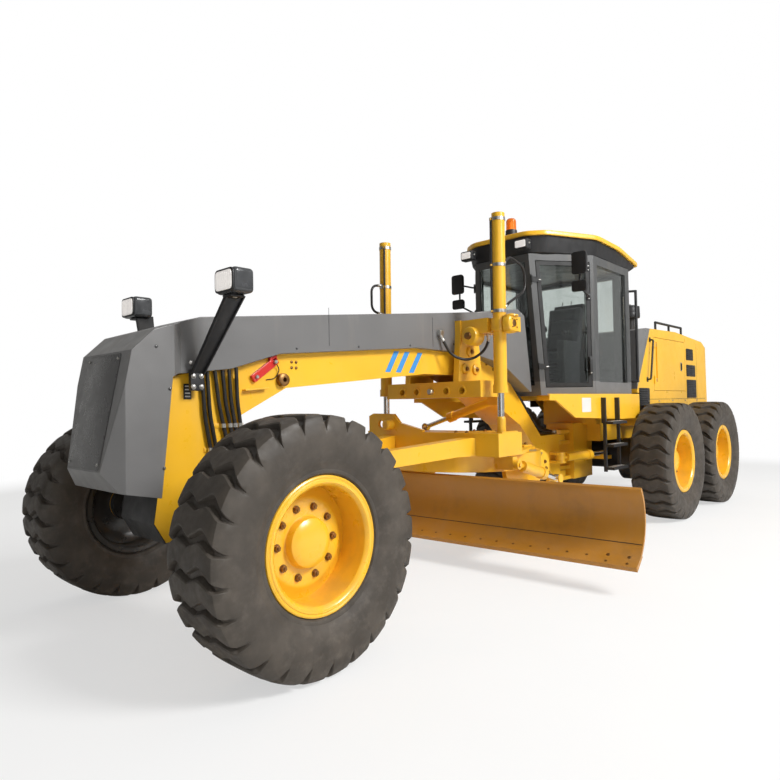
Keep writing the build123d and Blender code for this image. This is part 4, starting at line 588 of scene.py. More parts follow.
# half of the tyre's section: distance from the middle plane, radius, groove depth, how far the groove leads
# round the tyre and its half width, both as shares of the lug pitch
TREAD = [
    (0.000, 0.6735, 0.024, 0.26, 0.15), (0.040, 0.6735, 0.026, 0.36, 0.17), (0.085, 0.6730, 0.030, 0.48, 0.20),
    (0.110, 0.6722, 0.032, 0.48, 0.21), (0.150, 0.6700, 0.033, 0.34, 0.19), (0.180, 0.6655, 0.034, 0.20, 0.17),
    (0.195, 0.6575, 0.033, 0.13, 0.15), (0.204, 0.6430, 0.027, 0.08, 0.12), (0.210, 0.6250, 0.018, 0.05, 0.09),
    (0.215, 0.6050, 0.009, 0.02, 0.07), (0.219, 0.5880, 0.003, 0.00, 0.06), (0.2215, 0.5700, 0.0, 0.0, 0.06),
] + [(across, radius, 0.0, 0.0, 0.10) for across, radius in (
    (0.2225, 0.5450), (0.2215, 0.5150), (0.2180, 0.4850), (0.2120, 0.4580), (0.2060, 0.4400), (0.2050, 0.4360),
    (0.1990, 0.4220), (0.1900, 0.4020), (0.1850, 0.3900), (0.1860, 0.3800), (0.1830, 0.3700), (0.1760, 0.3640),
    (0.1655, 0.3600), (0.1650, 0.3400), (0.1640, 0.3225), (0.1450, 0.3225), (0.1380, 0.3700), (0.1600, 0.4600),
    (0.1750, 0.5500), (0.1400, 0.6080), (0.0000, 0.6120))]
RIM_BAND = [(-0.180, 0.322), (-0.178, 0.352), (-0.170, 0.358), (-0.163, 0.352), (-0.163, 0.334), (-0.150, 0.3185),
            (0.148, 0.3185), (0.161, 0.334), (0.161, 0.352), (0.168, 0.3595), (0.177, 0.357), (0.1805, 0.349),
            (0.176, 0.340), (0.1805, 0.334), (0.1805, 0.321), (0.172, 0.3095), (0.160, 0.303), (-0.150, 0.303),
            (-0.168, 0.309), (-0.180, 0.322)]
RIM_DISC = [(-0.070, 0.0645), (-0.070, 0.126), (-0.066, 0.130), (-0.008, 0.130), (-0.004, 0.215), (-0.012, 0.240),
            (-0.030, 0.285), (-0.034, 0.304), (-0.016, 0.304), (-0.010, 0.288), (0.006, 0.256), (0.018, 0.240),
            (0.023, 0.228), (0.024, 0.214), (0.025, 0.140), (0.029, 0.135), (0.060, 0.133), (0.072, 0.127),
            (0.082, 0.112), (0.090, 0.085), (0.095, 0.050), (0.097, 0.0)]
NUT_COUNT, NUT_CIRCLE, NUT_FACE, VALVE_R = 10, 0.186, 0.024, 0.294
WHEEL_TURNS = (("front", 8.0), ("middle", 31.0), ("rear", -17.0))


def lug_steps(gap):
    """From one groove to the next: share of the lug's pitch, and of the groove's depth there."""
    foot = 1.12 * gap
    block = 1 - 2 * foot
    return [(-0.5 * gap, 1.0), (0.0, 1.0), (0.5 * gap, 1.0), (0.86 * gap, 0.16), (foot, 0.0),
            (foot + 0.25 * block, 0.0), (0.5, 0.0), (foot + 0.75 * block, 0.0), (1 - foot, 0.0),
            (1 - 0.86 * gap, 0.16)]


def tyre_mesh():
    """A tyre about its own middle, axis along Y: lugs are lofted round the section, so their edges follow the
    grooves."""
    rows = TREAD + [(-across, *rest) for across, *rest in reversed(TREAD[1:-1])]
    count = len(rows)
    slopes = [Vector((rows[(i + 1) % count][0] - rows[i - 1][0], rows[(i + 1) % count][1] - rows[i - 1][1]))
              .normalized() for i in range(count)]
    steps = [lug_steps(row[4]) for row in rows]
    verts = []
    for lug in range(LUGS):
        for step in range(len(steps[0])):
            for (across, radius, depth, lead, _gap), slope, places in zip(rows, slopes, steps):
                place, drop = places[step]
                angle = 2 * math.pi * (lug + place + lead) / LUGS
                out = radius - abs(slope.x) * depth * drop if radius > SHOULDER_R else radius
                flat = across - math.copysign(abs(slope.y) * depth * drop, across) if across else 0.0
                verts.append((math.cos(angle) * out, flat, math.sin(angle) * out))
    total = len(verts)
    faces = [(i + k, (i + count) % total + k, (i + count) % total + (k + 1) % count, i + (k + 1) % count)
             for i in range(0, total, count) for k in range(count)]
    data = bpy.data.meshes.new("tyre")
    data.from_pydata(verts, [], faces)
    mesh = bmesh.new()
    mesh.from_mesh(data)
    bmesh.ops.recalc_face_normals(mesh, faces=mesh.faces)
    mesh.to_mesh(data)
    mesh.free()
    data.materials.append(TYRE)
    return data


def rim_mesh(sign):
    """A rim about its middle with the dish, hub cap, nuts and valve, its outside towards sign * Y."""
    piece = Piece("rim", None, None, RIM[sign], STUD, IRON)
    axis = Y * sign
    piece.turned(RIM_BAND, (0, 0, 0), axis, 96, RIM[sign])
    piece.turned(RIM_DISC, (0, 0, 0), axis, 72, RIM[sign])
    for angle, cosine, sine in around(NUT_COUNT, NUT_CIRCLE, 0.2):
        piece.nut(Vector((cosine, 0, sine)) + axis * NUT_FACE, axis, 0.030, 0.020, phase=angle)
    valve = X * VALVE_R
    piece.rod(valve + axis * 0.04, valve + axis * 0.125, 0.006, IRON, 12)
    return mesh_data(piece.mesh, f"rim_{sign}", *piece.materials)


def wheels():
    """Six tyres and rims from one tyre mesh and one rim mesh for each side."""
    tyre = tyre_mesh()
    rims = {sign: rim_mesh(sign) for _name, sign in SIDES}
    for row, turn in WHEEL_TURNS:
        for side_name, sign in SIDES:
            name = f"{row}_{side_name}"
            where = Matrix.Translation(centre_of(f"{name}_tyre")) @ tilted(turn * sign).to_4x4()
            place_mesh(f"{name}_lugged_tyre", tyre, f"{name}_wheel", [f"{name}_tyre"], 24.0, where)
            place_mesh(f"{name}_dished_rim", rims[sign], f"{name}_wheel", [f"{name}_rim"], 28.0, where)


# ---------------------------------------------------------------- lamps, roof and beacon
HEAD_LAMP, HEAD_LAMP_SIZE = at(-0.105, 0.626, 2.106), (0.136, 0.202, 0.142)
ARM_FOOT, ARM_TOP = at(-0.160, 0.284, 1.600), at(-0.075, 0.575, 2.050)
CAB_FLOOR, CAB_TOP = 1.500, 2.950
ROOF_PLAN = [(3.595, 0.350), (3.705, 0.505), (4.300, 0.808), (4.850, 0.815), (5.480, 0.775)]    # back and half width
ROOF_MIDDLE = at(4.450, 0, 0)
ROOF_PEAK, ROOF_PEAK_X, ROOF_BEND, ROOF_SIDE_FALL, ROOF_EDGE = 3.226, back(4.250), 12.4, 0.070, 0.050
# back, y and height of the work lamps, their stem and the way they face
WORK_LAMPS = ((3.520, 0.345, 3.020, -X * 0.140, X), (5.330, 0.600, 2.868, Z * 0.105, -X))
BEACON = at(3.860, 0, 0)


def lens_face(piece, centre, out, width, height, radius):
    """A lamp's front: black frame, pale bowl set in it and a ribbed lens, facing along a level direction. The bowl's
    pale paint is a painted reflection, and the lens's faint glow is a painted highlight.
    """
    across = Z.cross(out)
    for depth, wide, tall, thick, bend, soft, material in (
            (0.0, 1.0, 1.0, 0.007, 1.0, 0.002, BLACK), (0.0072, 0.88, 0.84, 0.0015, 0.8, 0.0015, BOWL),
            (0.0088, 0.86, 0.82, 0.004, 0.8, 0.002, LENS)):
        piece.panel(centre + out * depth, across, Z, width * wide, height * tall, out * thick, radius * bend,
                    material, soft)
    for k in range(-3, 4):
        middle = centre + out * 0.0129 + across * (k * width * 0.105)
        piece.panel(middle, across, Z, width * 0.03, height * 0.68, out * 0.001, 0.002, LENS, 0.0004, 2)


def headlamps():
    """Rounded lamp heads with lenses on flat arms, bolted to the cover's sides."""
    piece = Piece("head_lamps", "front_frame", "black", BLACK, SHELL, BOWL, LENS, STEEL)
    low, high = X * 0.042, X * 0.062
    for _name, sign in SIDES:
        flip = Vector((1, sign, 1))
        foot, top, middle = ARM_FOOT * flip, ARM_TOP * flip, HEAD_LAMP * flip
        rise = top - foot
        push = Vector((0, sign * rise.z, -sign * rise.y)).normalized() * 0.012
        piece.plate([foot - low, foot + low, top + high, top - high], push, 0.004, BLACK)
        for edge in (-1, 1):
            start, end, lip = foot + low * edge, top + high * edge, X * (-0.010 * edge)
            piece.plate([start, start + lip, end + lip, end], push * 2.2, 0.003, BLACK)
        piece.block(foot + Vector((0, -sign * 0.004, -0.044)), (0.088, 0.030, 0.130), 0.008, BLACK)
        piece.nuts([foot + Vector((dx, sign * 0.0115, dz)) for dz in (-0.085, -0.020) for dx in (-0.026, 0.026)],
                   Y * sign, 0.022, 0.012, STEEL)
        piece.block(middle + Vector((0, -sign * 0.016, -0.080)), (0.088, 0.090, 0.014), 0.004, BLACK)
        piece.rod(middle - Z * 0.092, middle - Z * 0.070, 0.014, STEEL)
        piece.block(middle, HEAD_LAMP_SIZE, 0.030, SHELL, 6)
        piece.block(middle - X * 0.05, (0.036, 0.180, 0.120), 0.014, BLACK, 4)
        lens_face(piece, middle + X * 0.0655, X, 0.192, 0.134, 0.034)
    piece.finish("headlamps")


def under_roof(drop):
    """A height function this far below the roof's arched upper face."""
    return lambda x, y: ROOF_PEAK - (x - ROOF_PEAK_X) ** 2 / ROOF_BEND - ROOF_SIDE_FALL * (y / 0.9) ** 2 - drop


def over_cab(gap):
    """A height function this far above the cab's flat top."""
    return lambda x, y: CAB_TOP + gap


def roof_shell(name, rings, material, replaced=()):
    """A closed form through rings: each the roof's outline at a share of its size and a height from x and y."""
    outline = rounded([at(b, y, 0) for b, y in ROOF_PLAN] + [at(b, -y, 0) for b, y in reversed(ROOF_PLAN)], 0.06, 5)
    count = len(outline)
    mesh = bmesh.new()
    rows = []
    for share, height in rings:
        spots = [ROOF_MIDDLE + (p - ROOF_MIDDLE) * share for p in outline]
        rows.append([mesh.verts.new((p.x, p.y, height(p.x, p.y))) for p in spots])
    for first, second in zip(rows, rows[1:]):
        for k in range(count):
            mesh.faces.new((first[k], first[(k + 1) % count], second[(k + 1) % count], second[k]))
    for row in (rows[0], rows[-1]):
        mesh.faces.new(row)
    bmesh.ops.recalc_face_normals(mesh, faces=mesh.faces)
    place_mesh(name, mesh_data(mesh, name, material), "rear_frame", replaced, 32.0)


def roof():
    """The thin arched roof cap and the dark tray under it."""
    rings = [(share, under_roof(0.0)) for share in (0.06, 0.2, 0.35, 0.5, 0.65, 0.8, 0.9, 0.96, 0.985)]
    rings += [(0.994, under_roof(0.003)), (1.0, under_roof(0.012)), (1.0, under_roof(ROOF_EDGE - 0.008))]
    rings += [(share, under_roof(ROOF_EDGE)) for share in (0.994, 0.95, 0.75, 0.5, 0.25, 0.06)]
    roof_shell("arched_roof", rings, YELLOW, ["cab_roof"])
    rings = [(share, under_roof(ROOF_EDGE - 0.006)) for share in (0.06, 0.4, 0.7, 0.955)]
    rings += [(0.965, under_roof(ROOF_EDGE + 0.004)), (0.960, under_roof(ROOF_EDGE + 0.030)), (0.930, over_cab(0.014))]
    rings += [(share, over_cab(0.0035)) for share in (0.915, 0.6, 0.3, 0.06)]
    roof_shell("roof_tray", rings, BLACK)


def roof_pieces():
    """Work lamps under the roof's corners and the amber beacon."""
    piece = Piece("work_lamps", "rear_frame", "black", BLACK, BOWL, LENS, STEEL)
    for distance, y, height, stem, out in WORK_LAMPS:
        for _name, sign in SIDES:
            centre = at(distance, sign * y, height)
            piece.block(centre, (0.088, 0.148, 0.104), 0.014, BLACK, 4)
            piece.rod(centre, centre + stem, 0.014, BLACK)
            lens_face(piece, centre + out * 0.0438, out, 0.140, 0.086, 0.018)
            for edge in (-1, 1):
                piece.nut(centre + Vector((0, edge * 0.0742, 0.008)), Y * edge, 0.016, 0.008, STEEL)
    piece.finish("roof_lamps")
    beacon = Piece("beacon", "rear_frame", "glass", AMBER, BLACK)
    beacon.turned([(3.200, 0), (3.200, 0.068), (3.262, 0.068), (3.270, 0.064), (3.302, 0.0635), (3.306, 0.058),
                   (3.306, 0)], BEACON, Z, 40, BLACK)
    ribs = [(3.3065 + 0.0085 * k, 0.0565 if k % 2 else 0.0545) for k in range(13)]
    beacon.turned([(3.3065, 0), *ribs, (3.420, 0.051), (3.432, 0.042), (3.4385, 0.026), (3.440, 0)], BEACON, Z, 40,
                  AMBER)
    beacon.finish(sharp=50)


# ---------------------------------------------------------------- hoses and hydraulic fittings
HEAD_HOSES = [          # back and z at the cover, at the middle and at the port block on the head's left side
    (-0.098, 1.609, -0.081, 1.339, -0.032, 1.064), (-0.061, 1.613, -0.046, 1.350, 0.006, 1.080),
    (-0.008, 1.619, 0.020, 1.400, 0.072, 1.172), (0.046, 1.625, 0.066, 1.410, 0.117, 1.189),
    (0.094, 1.630, 0.105, 1.420, 0.150, 1.197), (0.146, 1.645, 0.152, 1.430, 0.184, 1.205)]
HOSE_Y, HOSE_R = 0.237, 0.0125
CLAMPS = ((-0.057, 0.012, 1.127), (0.012, 0.176, 1.274))        # from, to and height, the front one first
FRONT_GROUP = -0.05             # hoses ahead of this sit in the front clamp
LIFT_Y, LIFT_TOP, LIFT_BALL = 0.690, (2.535, 3.054), (2.512, 1.087)
FEED_ROUTE = ((2.200, 0.284, 1.992), (2.290, 0.330, 1.810), (2.430, 0.430, 1.760), (2.560, 0.545, 1.880),
              (2.560, 0.545, 2.004))
LIFT_LOOPS = {"left": (((2.545, 2.560), (2.700, 2.700), (2.960, 2.640), (2.960, 2.420), (2.700, 2.290),
                        (2.545, 2.190)), (0.105, 0.108, 0.108, 0.105)),
              "right": (((2.520, 2.618), (2.325, 2.590), (2.325, 2.340), (2.520, 2.300)), (0.078, 0.078))}
CRIMP = ((0, 0), (0, 0.9), (0.12, 1), (0.30, 1), (0.34, 0.9), (0.40, 0.9), (0.44, 1), (0.72, 1), (0.78, 1.25),
         (1, 1.25), (1, 0))     # shares of its length and radius


def crimp(piece, start, end, radius):
    """A hose end's swaged sleeve with its collar, from one point toward another."""
    axis = end - start
    piece.turned([(along * axis.length, share * radius) for along, share in CRIMP], start, axis, 20, STEEL)


def hoses():
    """The clipped hoses on the head and the hose that feeds the left lift cylinder, with their fittings."""
    piece = Piece("front_hoses", "front_frame", "black", HOSE, STEEL, YELLOW_CAST)
    for top, top_z, middle, middle_z, low, low_z in HEAD_HOSES:
        end = low + 0.006
        line = route([at(top, HOSE_Y, top_z), at(middle, HOSE_Y, middle_z), at(low, HOSE_Y, low_z),
                      at(end, HOSE_Y, low_z - 0.058)], [0.9, 0.3], 0.03)
        piece.tube(line, HOSE_R, HOSE, 14)
        crimp(piece, line[-1] + Z * 0.055, line[-1] + Z * 0.002, 0.015)
        piece.block(at(end, 0.234, low_z - 0.075), (0.038, 0.040, 0.034), 0.004, YELLOW_CAST)
        clamp_z = CLAMPS[0 if top < FRONT_GROUP else 1][2]
        clamp_b = middle + (low - middle) * (middle_z - clamp_z) / (middle_z - low_z)
        piece.turned([(-0.013, 0), (-0.013, 0.0165), (0.013, 0.0165), (0.013, 0)], at(clamp_b, HOSE_Y, clamp_z), Z,
                     18, STEEL)
    for start, end, z in CLAMPS:
        piece.block(at((start + end) / 2 + 0.004, 0.2185, z), (end - start + 0.050, 0.007, 0.026), 0.002, YELLOW_CAST)
    feed = route([at(*place) for place in FEED_ROUTE], [0.19] * 3)
    piece.tube(feed, HOSE_R, HOSE, 14)
    piece.block(at(2.200, 0.283, 2.012), (0.046, 0.042, 0.046), 0.005, STEEL)
    crimp(piece, feed[-1] - Z * 0.070, feed[-1], 0.0155)
    crimp(piece, feed[0] + (feed[1] - feed[0]).normalized() * 0.06, feed[0], 0.0155)
    piece.finish("hoses")


def lift_lines():
    """The hose loop and clipped steel line of each lift barrel, and the eye's sleeve on its rod."""
    for side_name, sign in SIDES:
        piece = Piece(f"lift_hose_{side_name}", f"lift_barrel_{side_name}", "black", HOSE, STEEL, BLACK)
        points, bends = LIFT_LOOPS[side_name]
        line = route([at(b, sign * LIFT_Y, z) for b, z in points], bends)
        piece.tube(line, 0.0122, HOSE, 14)
        for end, inner in ((0, 1), (-1, -2)):
            out = (line[inner] - line[end]).normalized()
            crimp(piece, line[end] + out * 0.115, line[end] + out * 0.048, 0.015)
        top, ball = (at(b, sign * LIFT_Y, z) for b, z in (LIFT_TOP, LIFT_BALL))
        axis = (ball - top).normalized()
        side = Vector((0.8, -0.6 * sign, 0)) * 0.069
        piece.tube([top + axis * 0.041 + side, top + axis * 0.879 + side], 0.0098, BLACK, 14)
        for along in (0.054, 0.460, 0.866):
            piece.turned([(-0.014, 0.0585), (-0.014, 0.0625), (0.014, 0.0625), (0.014, 0.0585), (-0.014, 0.0585)],
                         top + axis * along, axis, 40, STEEL)
        sleeve = Piece(f"lift_rod_eye_{side_name}", f"lift_rod_{side_name}", "yellow", YELLOW_CAST)
        sleeve.turned([(0.030, 0.020), (0.030, 0.041), (0.150, 0.040), (0.172, 0.037), (0.178, 0.031), (0.178, 0.020),
                       (0.030, 0.020)], ball, -axis, 32, YELLOW_CAST)
        sleeve.finish()
        piece.finish()


# ---------------------------------------------------------------- front frame, nose and saddle
PANEL_LOW, PANEL_HIGH, PANEL_SIZE = at(-0.7150, 0, 1.045), at(-0.580, 0, 1.716), (0.450, 0.664)
# black sheets of painted shade under the nose, for the deep shadow there: back and z of the upper and the lower edge,
# and the x and z of the way they face
SHADE_SHEETS = ((-0.3750, 0.892, -0.4002, 0.716, 0.9895, 0.1442), (-0.4002, 0.722, -0.3270, 0.595, 0.8638, -0.5039))
SHADE_SHEET_HALF = 0.218
NOSE_SIDE, COVER_SIDE, BEAM_SIDE = 0.3453, 0.2623, 0.2001
STRIPES = ((1.5735, 1.6855, 0.060), (1.700, 1.817, 0.062), (1.863, 1.986, 0.062))   # back below, back above, width
STRIPE_LOW, STRIPE_HIGH = 1.655, 1.832
LOCK_TOP, LOCK_FOOT = at(0.481, 0.2002, 1.710), at(0.283, 0.2002, 1.571)
SADDLE_BACK, SADDLE_Z = 2.524, 2.070


def nose_dressing():
    """Seams and bolts of the grey nose and cover, the blank plate, the front panel in a darker grey as painted shade,
    and black sheets of painted shade under the nose.
    """
    piece = Piece("nose_panels", "front_frame", "grey", NOSE_DARK, SEAL, STEEL, BLACK, LABEL)
    up = (PANEL_HIGH - PANEL_LOW).normalized()
    out = Vector((up.z, 0, -up.x))
    middle = PANEL_LOW + up * 0.342
    # The nose's front panel in the darker grey: painted shade on this face.
    piece.panel(middle + out * 0.0005, Y, up, *PANEL_SIZE, out * 0.003, 0.025, NOSE_DARK, 0.001)
    piece.nuts([middle + out * 0.0035 + up * dz + Y * y for dz in (-0.30, 0.30) for y in (-0.20, 0.20)], out, 0.014,
               0.006, STEEL, washer=False)
    # black sheets on the frame's lower front: painted shade for the shadow under the nose
    for b, z, b_low, z_low, push_x, push_z in SHADE_SHEETS:
        piece.plate([at(b, -SHADE_SHEET_HALF, z), at(b, SHADE_SHEET_HALF, z), at(b_low, SHADE_SHEET_HALF, z_low),
                     at(b_low, -SHADE_SHEET_HALF, z_low)], Vector((push_x, 0, push_z)) * 0.005, 0.001, BLACK)
    for _name, sign in SIDES:
        out = Y * sign
        piece.nuts([at(b, sign * NOSE_SIDE, z) for b, z in ((-0.36, 1.50), (-0.40, 1.05), (-0.44, 1.74))], out, 0.014,
                   0.006, NOSE_DARK)
        piece.nuts([at(b, sign * COVER_SIDE, 1.745 + 0.075 * b) for b in (0.62, 1.22, 1.82, 2.42)], out, 0.014, 0.005,
                   NOSE_DARK)
        piece.nut(at(-0.20, sign * 0.2950, 1.660), out, 0.020, 0.009, STEEL)
        for b in (0.92, 2.12):
            piece.panel(at(b, sign * 0.2622, 1.93 + 0.04 * b), X, Z, 0.004, 0.30 - 0.02 * b, out * 0.0006, 0.001,
                        SEAL, 0.0, 1)
    piece.block(at(-0.184, 0.2165, 1.489), (0.050, 0.004, 0.095), 0.001, BLACK)
    for dz in (-0.030, -0.010, 0.012, 0.032):
        piece.panel(at(-0.184, 0.2186, 1.489 + dz), X, Z, 0.034, 0.008, Y * 0.0008, 0.002, LABEL, 0.0, 2)
    piece.finish()


def beam_dressing():
    """The red lock bar, the slanted blue stripes and the small fittings on the beam's sides."""
    piece = Piece("beam_fittings", "front_frame", "yellow", YELLOW_CAST, RED, BLUE, STEEL, STUD, HOSE)
    start, end = LOCK_TOP, LOCK_FOOT
    along = (end - start).normalized()
    up = Vector((-along.z, 0, along.x))
    half = up * 0.027
    piece.plate(rounded([start - half, start + half, end + half, end - half], 0.012), Y * 0.028, 0.004, RED)
    piece.block(start + along * 0.02 + up * 0.030 + Y * 0.014, (0.060, 0.028, 0.050), 0.006, RED)
    piece.rod(start + along * 0.03 + Y * 0.026, start + along * 0.03 + Y * 0.050, 0.014, STEEL)
    piece.rod(end - along * 0.03 + Y * 0.026, end - along * 0.03 + Y * 0.044, 0.012, STEEL)
    piece.tube(smooth_path([at(0.46, 0.232, 1.690), at(0.50, 0.214, 1.640), at(0.47, 0.206, 1.585),
                            at(0.40, 0.204, 1.570)]), 0.0035, HOSE, 8)
    piece.plate([at(0.215, 0.2005, 1.494), at(0.395, 0.2005, 1.508), at(0.395, 0.240, 1.508), at(0.215, 0.240, 1.494)],
                Z * 0.010, 0.003, YELLOW_CAST)
    piece.turned([(0, 0.016), (0, 0.046), (0.036, 0.044), (0.042, 0.036), (0.042, 0.016), (0, 0.016)],
                 at(0.530, 0.2003, 1.572), Y, 30, STUD)
    for _name, sign in SIDES:
        y = sign * BEAM_SIDE
        for low, high, wide in STRIPES:
            piece.plate([at(low, y, STRIPE_LOW), at(low + wide, y, STRIPE_LOW), at(high + wide, y, STRIPE_HIGH),
                         at(high, y, STRIPE_HIGH)], Y * sign * 0.0007, 0.0, BLUE)
        piece.nuts([at(b, y, z) for z in (1.70, 1.66) for b in (0.62, 0.66)], Y * sign, 0.016, 0.008)
        piece.nuts([at(b, y, z) for b, z in ((2.90, 1.80), (3.02, 1.77), (3.14, 1.72), (3.26, 1.64))], Y * sign, 0.022,
                   0.012)
    piece.finish()


def leg_hoses():
    """The bundle of hoses that runs from under the cover down over the gooseneck's leg."""
    piece = Piece("leg_hoses", "front_frame", "black", HOSE, STEEL)
    for k in range(5):
        y = 0.175 - 0.042 * k
        lift = 0.020 * ((k * 2) % 3)
        line = route([at(3.420, y, 1.640), at(3.480, y, 1.610 + lift), at(3.760, y, 1.345 + lift),
                      at(4.060, y, 1.070 + lift), at(4.390, y, 1.045)], [0.05, 0.60, 0.25], 0.02)
        piece.tube(line, 0.0145, HOSE)
        crimp(piece, line[-1] + X * 0.060, line[-1], 0.018)
        piece.block(at(4.405, y, 1.030), (0.034, 0.036, 0.044), 0.004, STEEL)
    piece.finish()


def saddle_dressing():
    """Trunnion caps with their bolts, pin heads and lock pins of the saddle."""
    piece = Piece("saddle_fittings", "front_frame", "yellow", YELLOW_CAST, STUD, STEEL)
    for _name, sign in SIDES:
        out = Y * sign
        piece.turned([(-0.040, 0.034), (-0.040, 0.086), (0.012, 0.086), (0.022, 0.078), (0.026, 0.064),
                      (0.026, 0.034), (-0.040, 0.034)], at(SADDLE_BACK, sign * 0.8152, SADDLE_Z), out, 40, YELLOW_CAST)
        piece.turned([(0, 0), (0, 0.034), (0.020, 0.032), (0.024, 0.024), (0.024, 0)],
                     at(SADDLE_BACK, sign * 0.815, SADDLE_Z), out, 28, STUD)
        for angle, cosine, sine in around(4, 0.0475):
            piece.nut(at(SADDLE_BACK - cosine, sign * 0.8414, SADDLE_Z + sine), out, 0.012, 0.007, washer=False,
                      phase=angle)
        for b, height in ((2.50, 1.70), (2.58, 1.86), (2.66, 1.70)):
            piece.turned([(0, 0), (0, 0.050), (0.018, 0.048), (0.024, 0.040), (0.024, 0)], at(b, sign * 0.3223, height),
                         out, 32, YELLOW_CAST)
            piece.nut(at(b, sign * 0.3463, height), out, 0.030, 0.014)
        crossing = at(2.470, sign * 0.440, 1.985)
        piece.turned([(-0.060, 0), (-0.060, 0.084), (0.052, 0.084), (0.066, 0.076), (0.070, 0.060), (0.070, 0)],
                     crossing, X, 40, YELLOW_CAST)
        piece.turned([(0.070, 0), (0.070, 0.034), (0.092, 0.030), (0.096, 0.022), (0.096, 0)], crossing, X, 28, STUD)
        for level, axis in ((2.0042, -Z), (2.1358, Z)):
            piece.turned([(-0.004, 0), (-0.004, 0.066), (0.006, 0.064), (0.010, 0.056), (0.010, 0)],
                         at(SADDLE_BACK, sign * 0.805, level), axis, 28, YELLOW_CAST)
    for y in (-0.36, -0.18, 0.18, 0.36):
        piece.turned([(0, 0.0302), (0, 0.046), (0.008, 0.044), (0.008, 0.0302), (0, 0.0302)], at(2.400, y, 1.500), X,
                     28, YELLOW_CAST)
    piece.turned([(-0.020, 0), (-0.020, 0.0285), (0.026, 0.0285), (0.034, 0.022), (0.034, 0)], at(2.400, 0, 1.500), X,
                 28, STEEL)
    piece.finish()


# ---------------------------------------------------------------- drawbar, circle and blade
CIRCLE_MIDDLE, YAW = at(2.900, 0, 0), tilted(3.5, "Z")
DRIVE_BACK = 3.300
SHOES = ((2.62, 0.60), (3.18, 0.50), (3.42, 0.16))      # back and y of the circle's hold-down shoes
CURVE_X, CURVE_Z, CURVE_R, CURVE_FOOT = 0.915, 0.532, 0.345, math.radians(-66.0)
EDGE_BOLTS, EDGE_PITCH, EDGE_MIDDLE = 26, 0.1524, -0.075


def circle_spot(x, y, z):
    """A point given in the turned circle's own directions, from its middle on the ground."""
    return CIRCLE_MIDDLE + YAW @ Vector((x, y, z))


def edge_spot(rise):
    """A point on the mouldboard's front this far up from its lower edge, about the circle, and the way out of it."""
    angle = CURVE_FOOT + rise / CURVE_R
    out = Vector((math.cos(angle), 0, -math.sin(angle)))
    return Vector((CURVE_X, 0, CURVE_Z)) - out * CURVE_R, out


def drawbar_dressing():
    """The circle drive's gearbox and motor, hold-down shoes and bolts on the drawbar."""
    piece = Piece("circle_drive", "drawbar", "yellow", YELLOW_CAST, STUD)
    piece.turned([(1.0605, 0), (1.0605, 0.132), (1.074, 0.132), (1.078, 0.126), (1.078, 0.092), (1.088, 0.088),
                  (1.094, 0.078), (1.094, 0)], at(DRIVE_BACK, 0, 0), Z, 40, YELLOW_CAST)
    for angle, cosine, sine in around(8, 0.112):
        piece.nut(at(DRIVE_BACK - cosine, sine, 1.0785), Z, 0.020, 0.011, phase=angle)
    for b, y in SHOES:
        for _name, sign in SIDES:
            piece.block(at(b, sign * y, 0.9660), (0.150, 0.110, 0.016), 0.004, YELLOW_CAST)
            piece.nuts([at(b + dx, sign * y, 0.9742) for dx in (-0.045, 0.045)], Z, 0.030, 0.016)
    for _name, sign in SIDES:
        piece.nuts([at(b, sign * y, 1.1252) for b in (2.375, 2.655) for y in (0.30, 0.42)], Z, 0.026, 0.014)
        piece.block(at(2.515, sign * 0.755, 1.131), (0.250, 0.046, 0.012), 0.003, YELLOW_CAST)
    piece.turned([(0, 0), (0, 0.052), (0.070, 0.050), (0.084, 0.034), (0.084, 0)], at(2.330, -0.46, 1.190), X, 28,
                 YELLOW_CAST)
    piece.finish()


def circle_dressing():
    """The pipe, its clamps and the bolts on the circle's arms."""
    piece = Piece("circle_fittings", "circle", "yellow", YELLOW_CAST, STUD, STEEL)
    line = [circle_spot(*place) for place in ((0.36, 0.660, 0.905), (0.22, 0.668, 0.930), (0.00, 0.668, 0.935),
                                              (-0.20, 0.666, 0.925), (-0.36, 0.655, 0.890))]
    piece.tube(smooth_path(line), 0.0085, STEEL)
    for x in (0.22, -0.20):
        piece.block(circle_spot(x, 0.660, 0.921), (0.030, 0.022, 0.030), 0.003, STEEL, turn=YAW)
    for _name, sign in SIDES:
        piece.nuts([circle_spot(x, sign * 0.6425, z)
                    for x, z in ((0.28, 0.885), (-0.34, 0.875), (-0.45, 0.80), (-0.47, 0.735))], YAW @ Y * sign,
                   0.028, 0.014)
    for angle, cosine, sine in around(24, 0.630):
        if abs(math.sin(angle)) < 0.93:         # none under the arms
            piece.nut(circle_spot(cosine, sine, 0.9203), Z, 0.014, 0.004, washer=False)
    piece.finish()


def blade_dressing():
    """Countersunk bolt heads along the cutting edge and the end bits, and the seam above them."""
    piece = Piece("edge_bolts", "blade", "iron", STUD, IRON)
    low, high = ([circle_spot(place.x, y, place.z) + YAW @ out * 0.0005 for y in (-2.050, 1.898)]
                 for place, out in (edge_spot(0.2010), edge_spot(0.2065)))
    piece.plate([*low, *reversed(high)], YAW @ edge_spot(0.204)[1] * 0.0008, 0.0, IRON)
    for k in range(EDGE_BOLTS):
        y = EDGE_MIDDLE + (k - (EDGE_BOLTS - 1) / 2) * EDGE_PITCH
        for rise in (0.030, 0.090) if k in (0, 1, EDGE_BOLTS - 2, EDGE_BOLTS - 1) else (0.060,):
            place, out = edge_spot(rise)
            piece.turned([(-0.004, 0), (-0.004, 0.013), (0.0010, 0.014), (0.0028, 0.011), (0.0034, 0)],
                         circle_spot(place.x, y, place.z), YAW @ out, 18, STUD)
    piece.finish()


# ---------------------------------------------------------------- cab
DOOR_POST = (4.240, 0.770)      # back and half width of the door's rear post
DOOR_ALONG, DOOR_OUT = (0.8132, -0.5820), (0.5820, 0.8132)
DOOR_RUN, DOOR_LEAN = 0.6358, 0.099         # the door's width at the floor and how much wider it is at the top
ARM_R = 0.0105
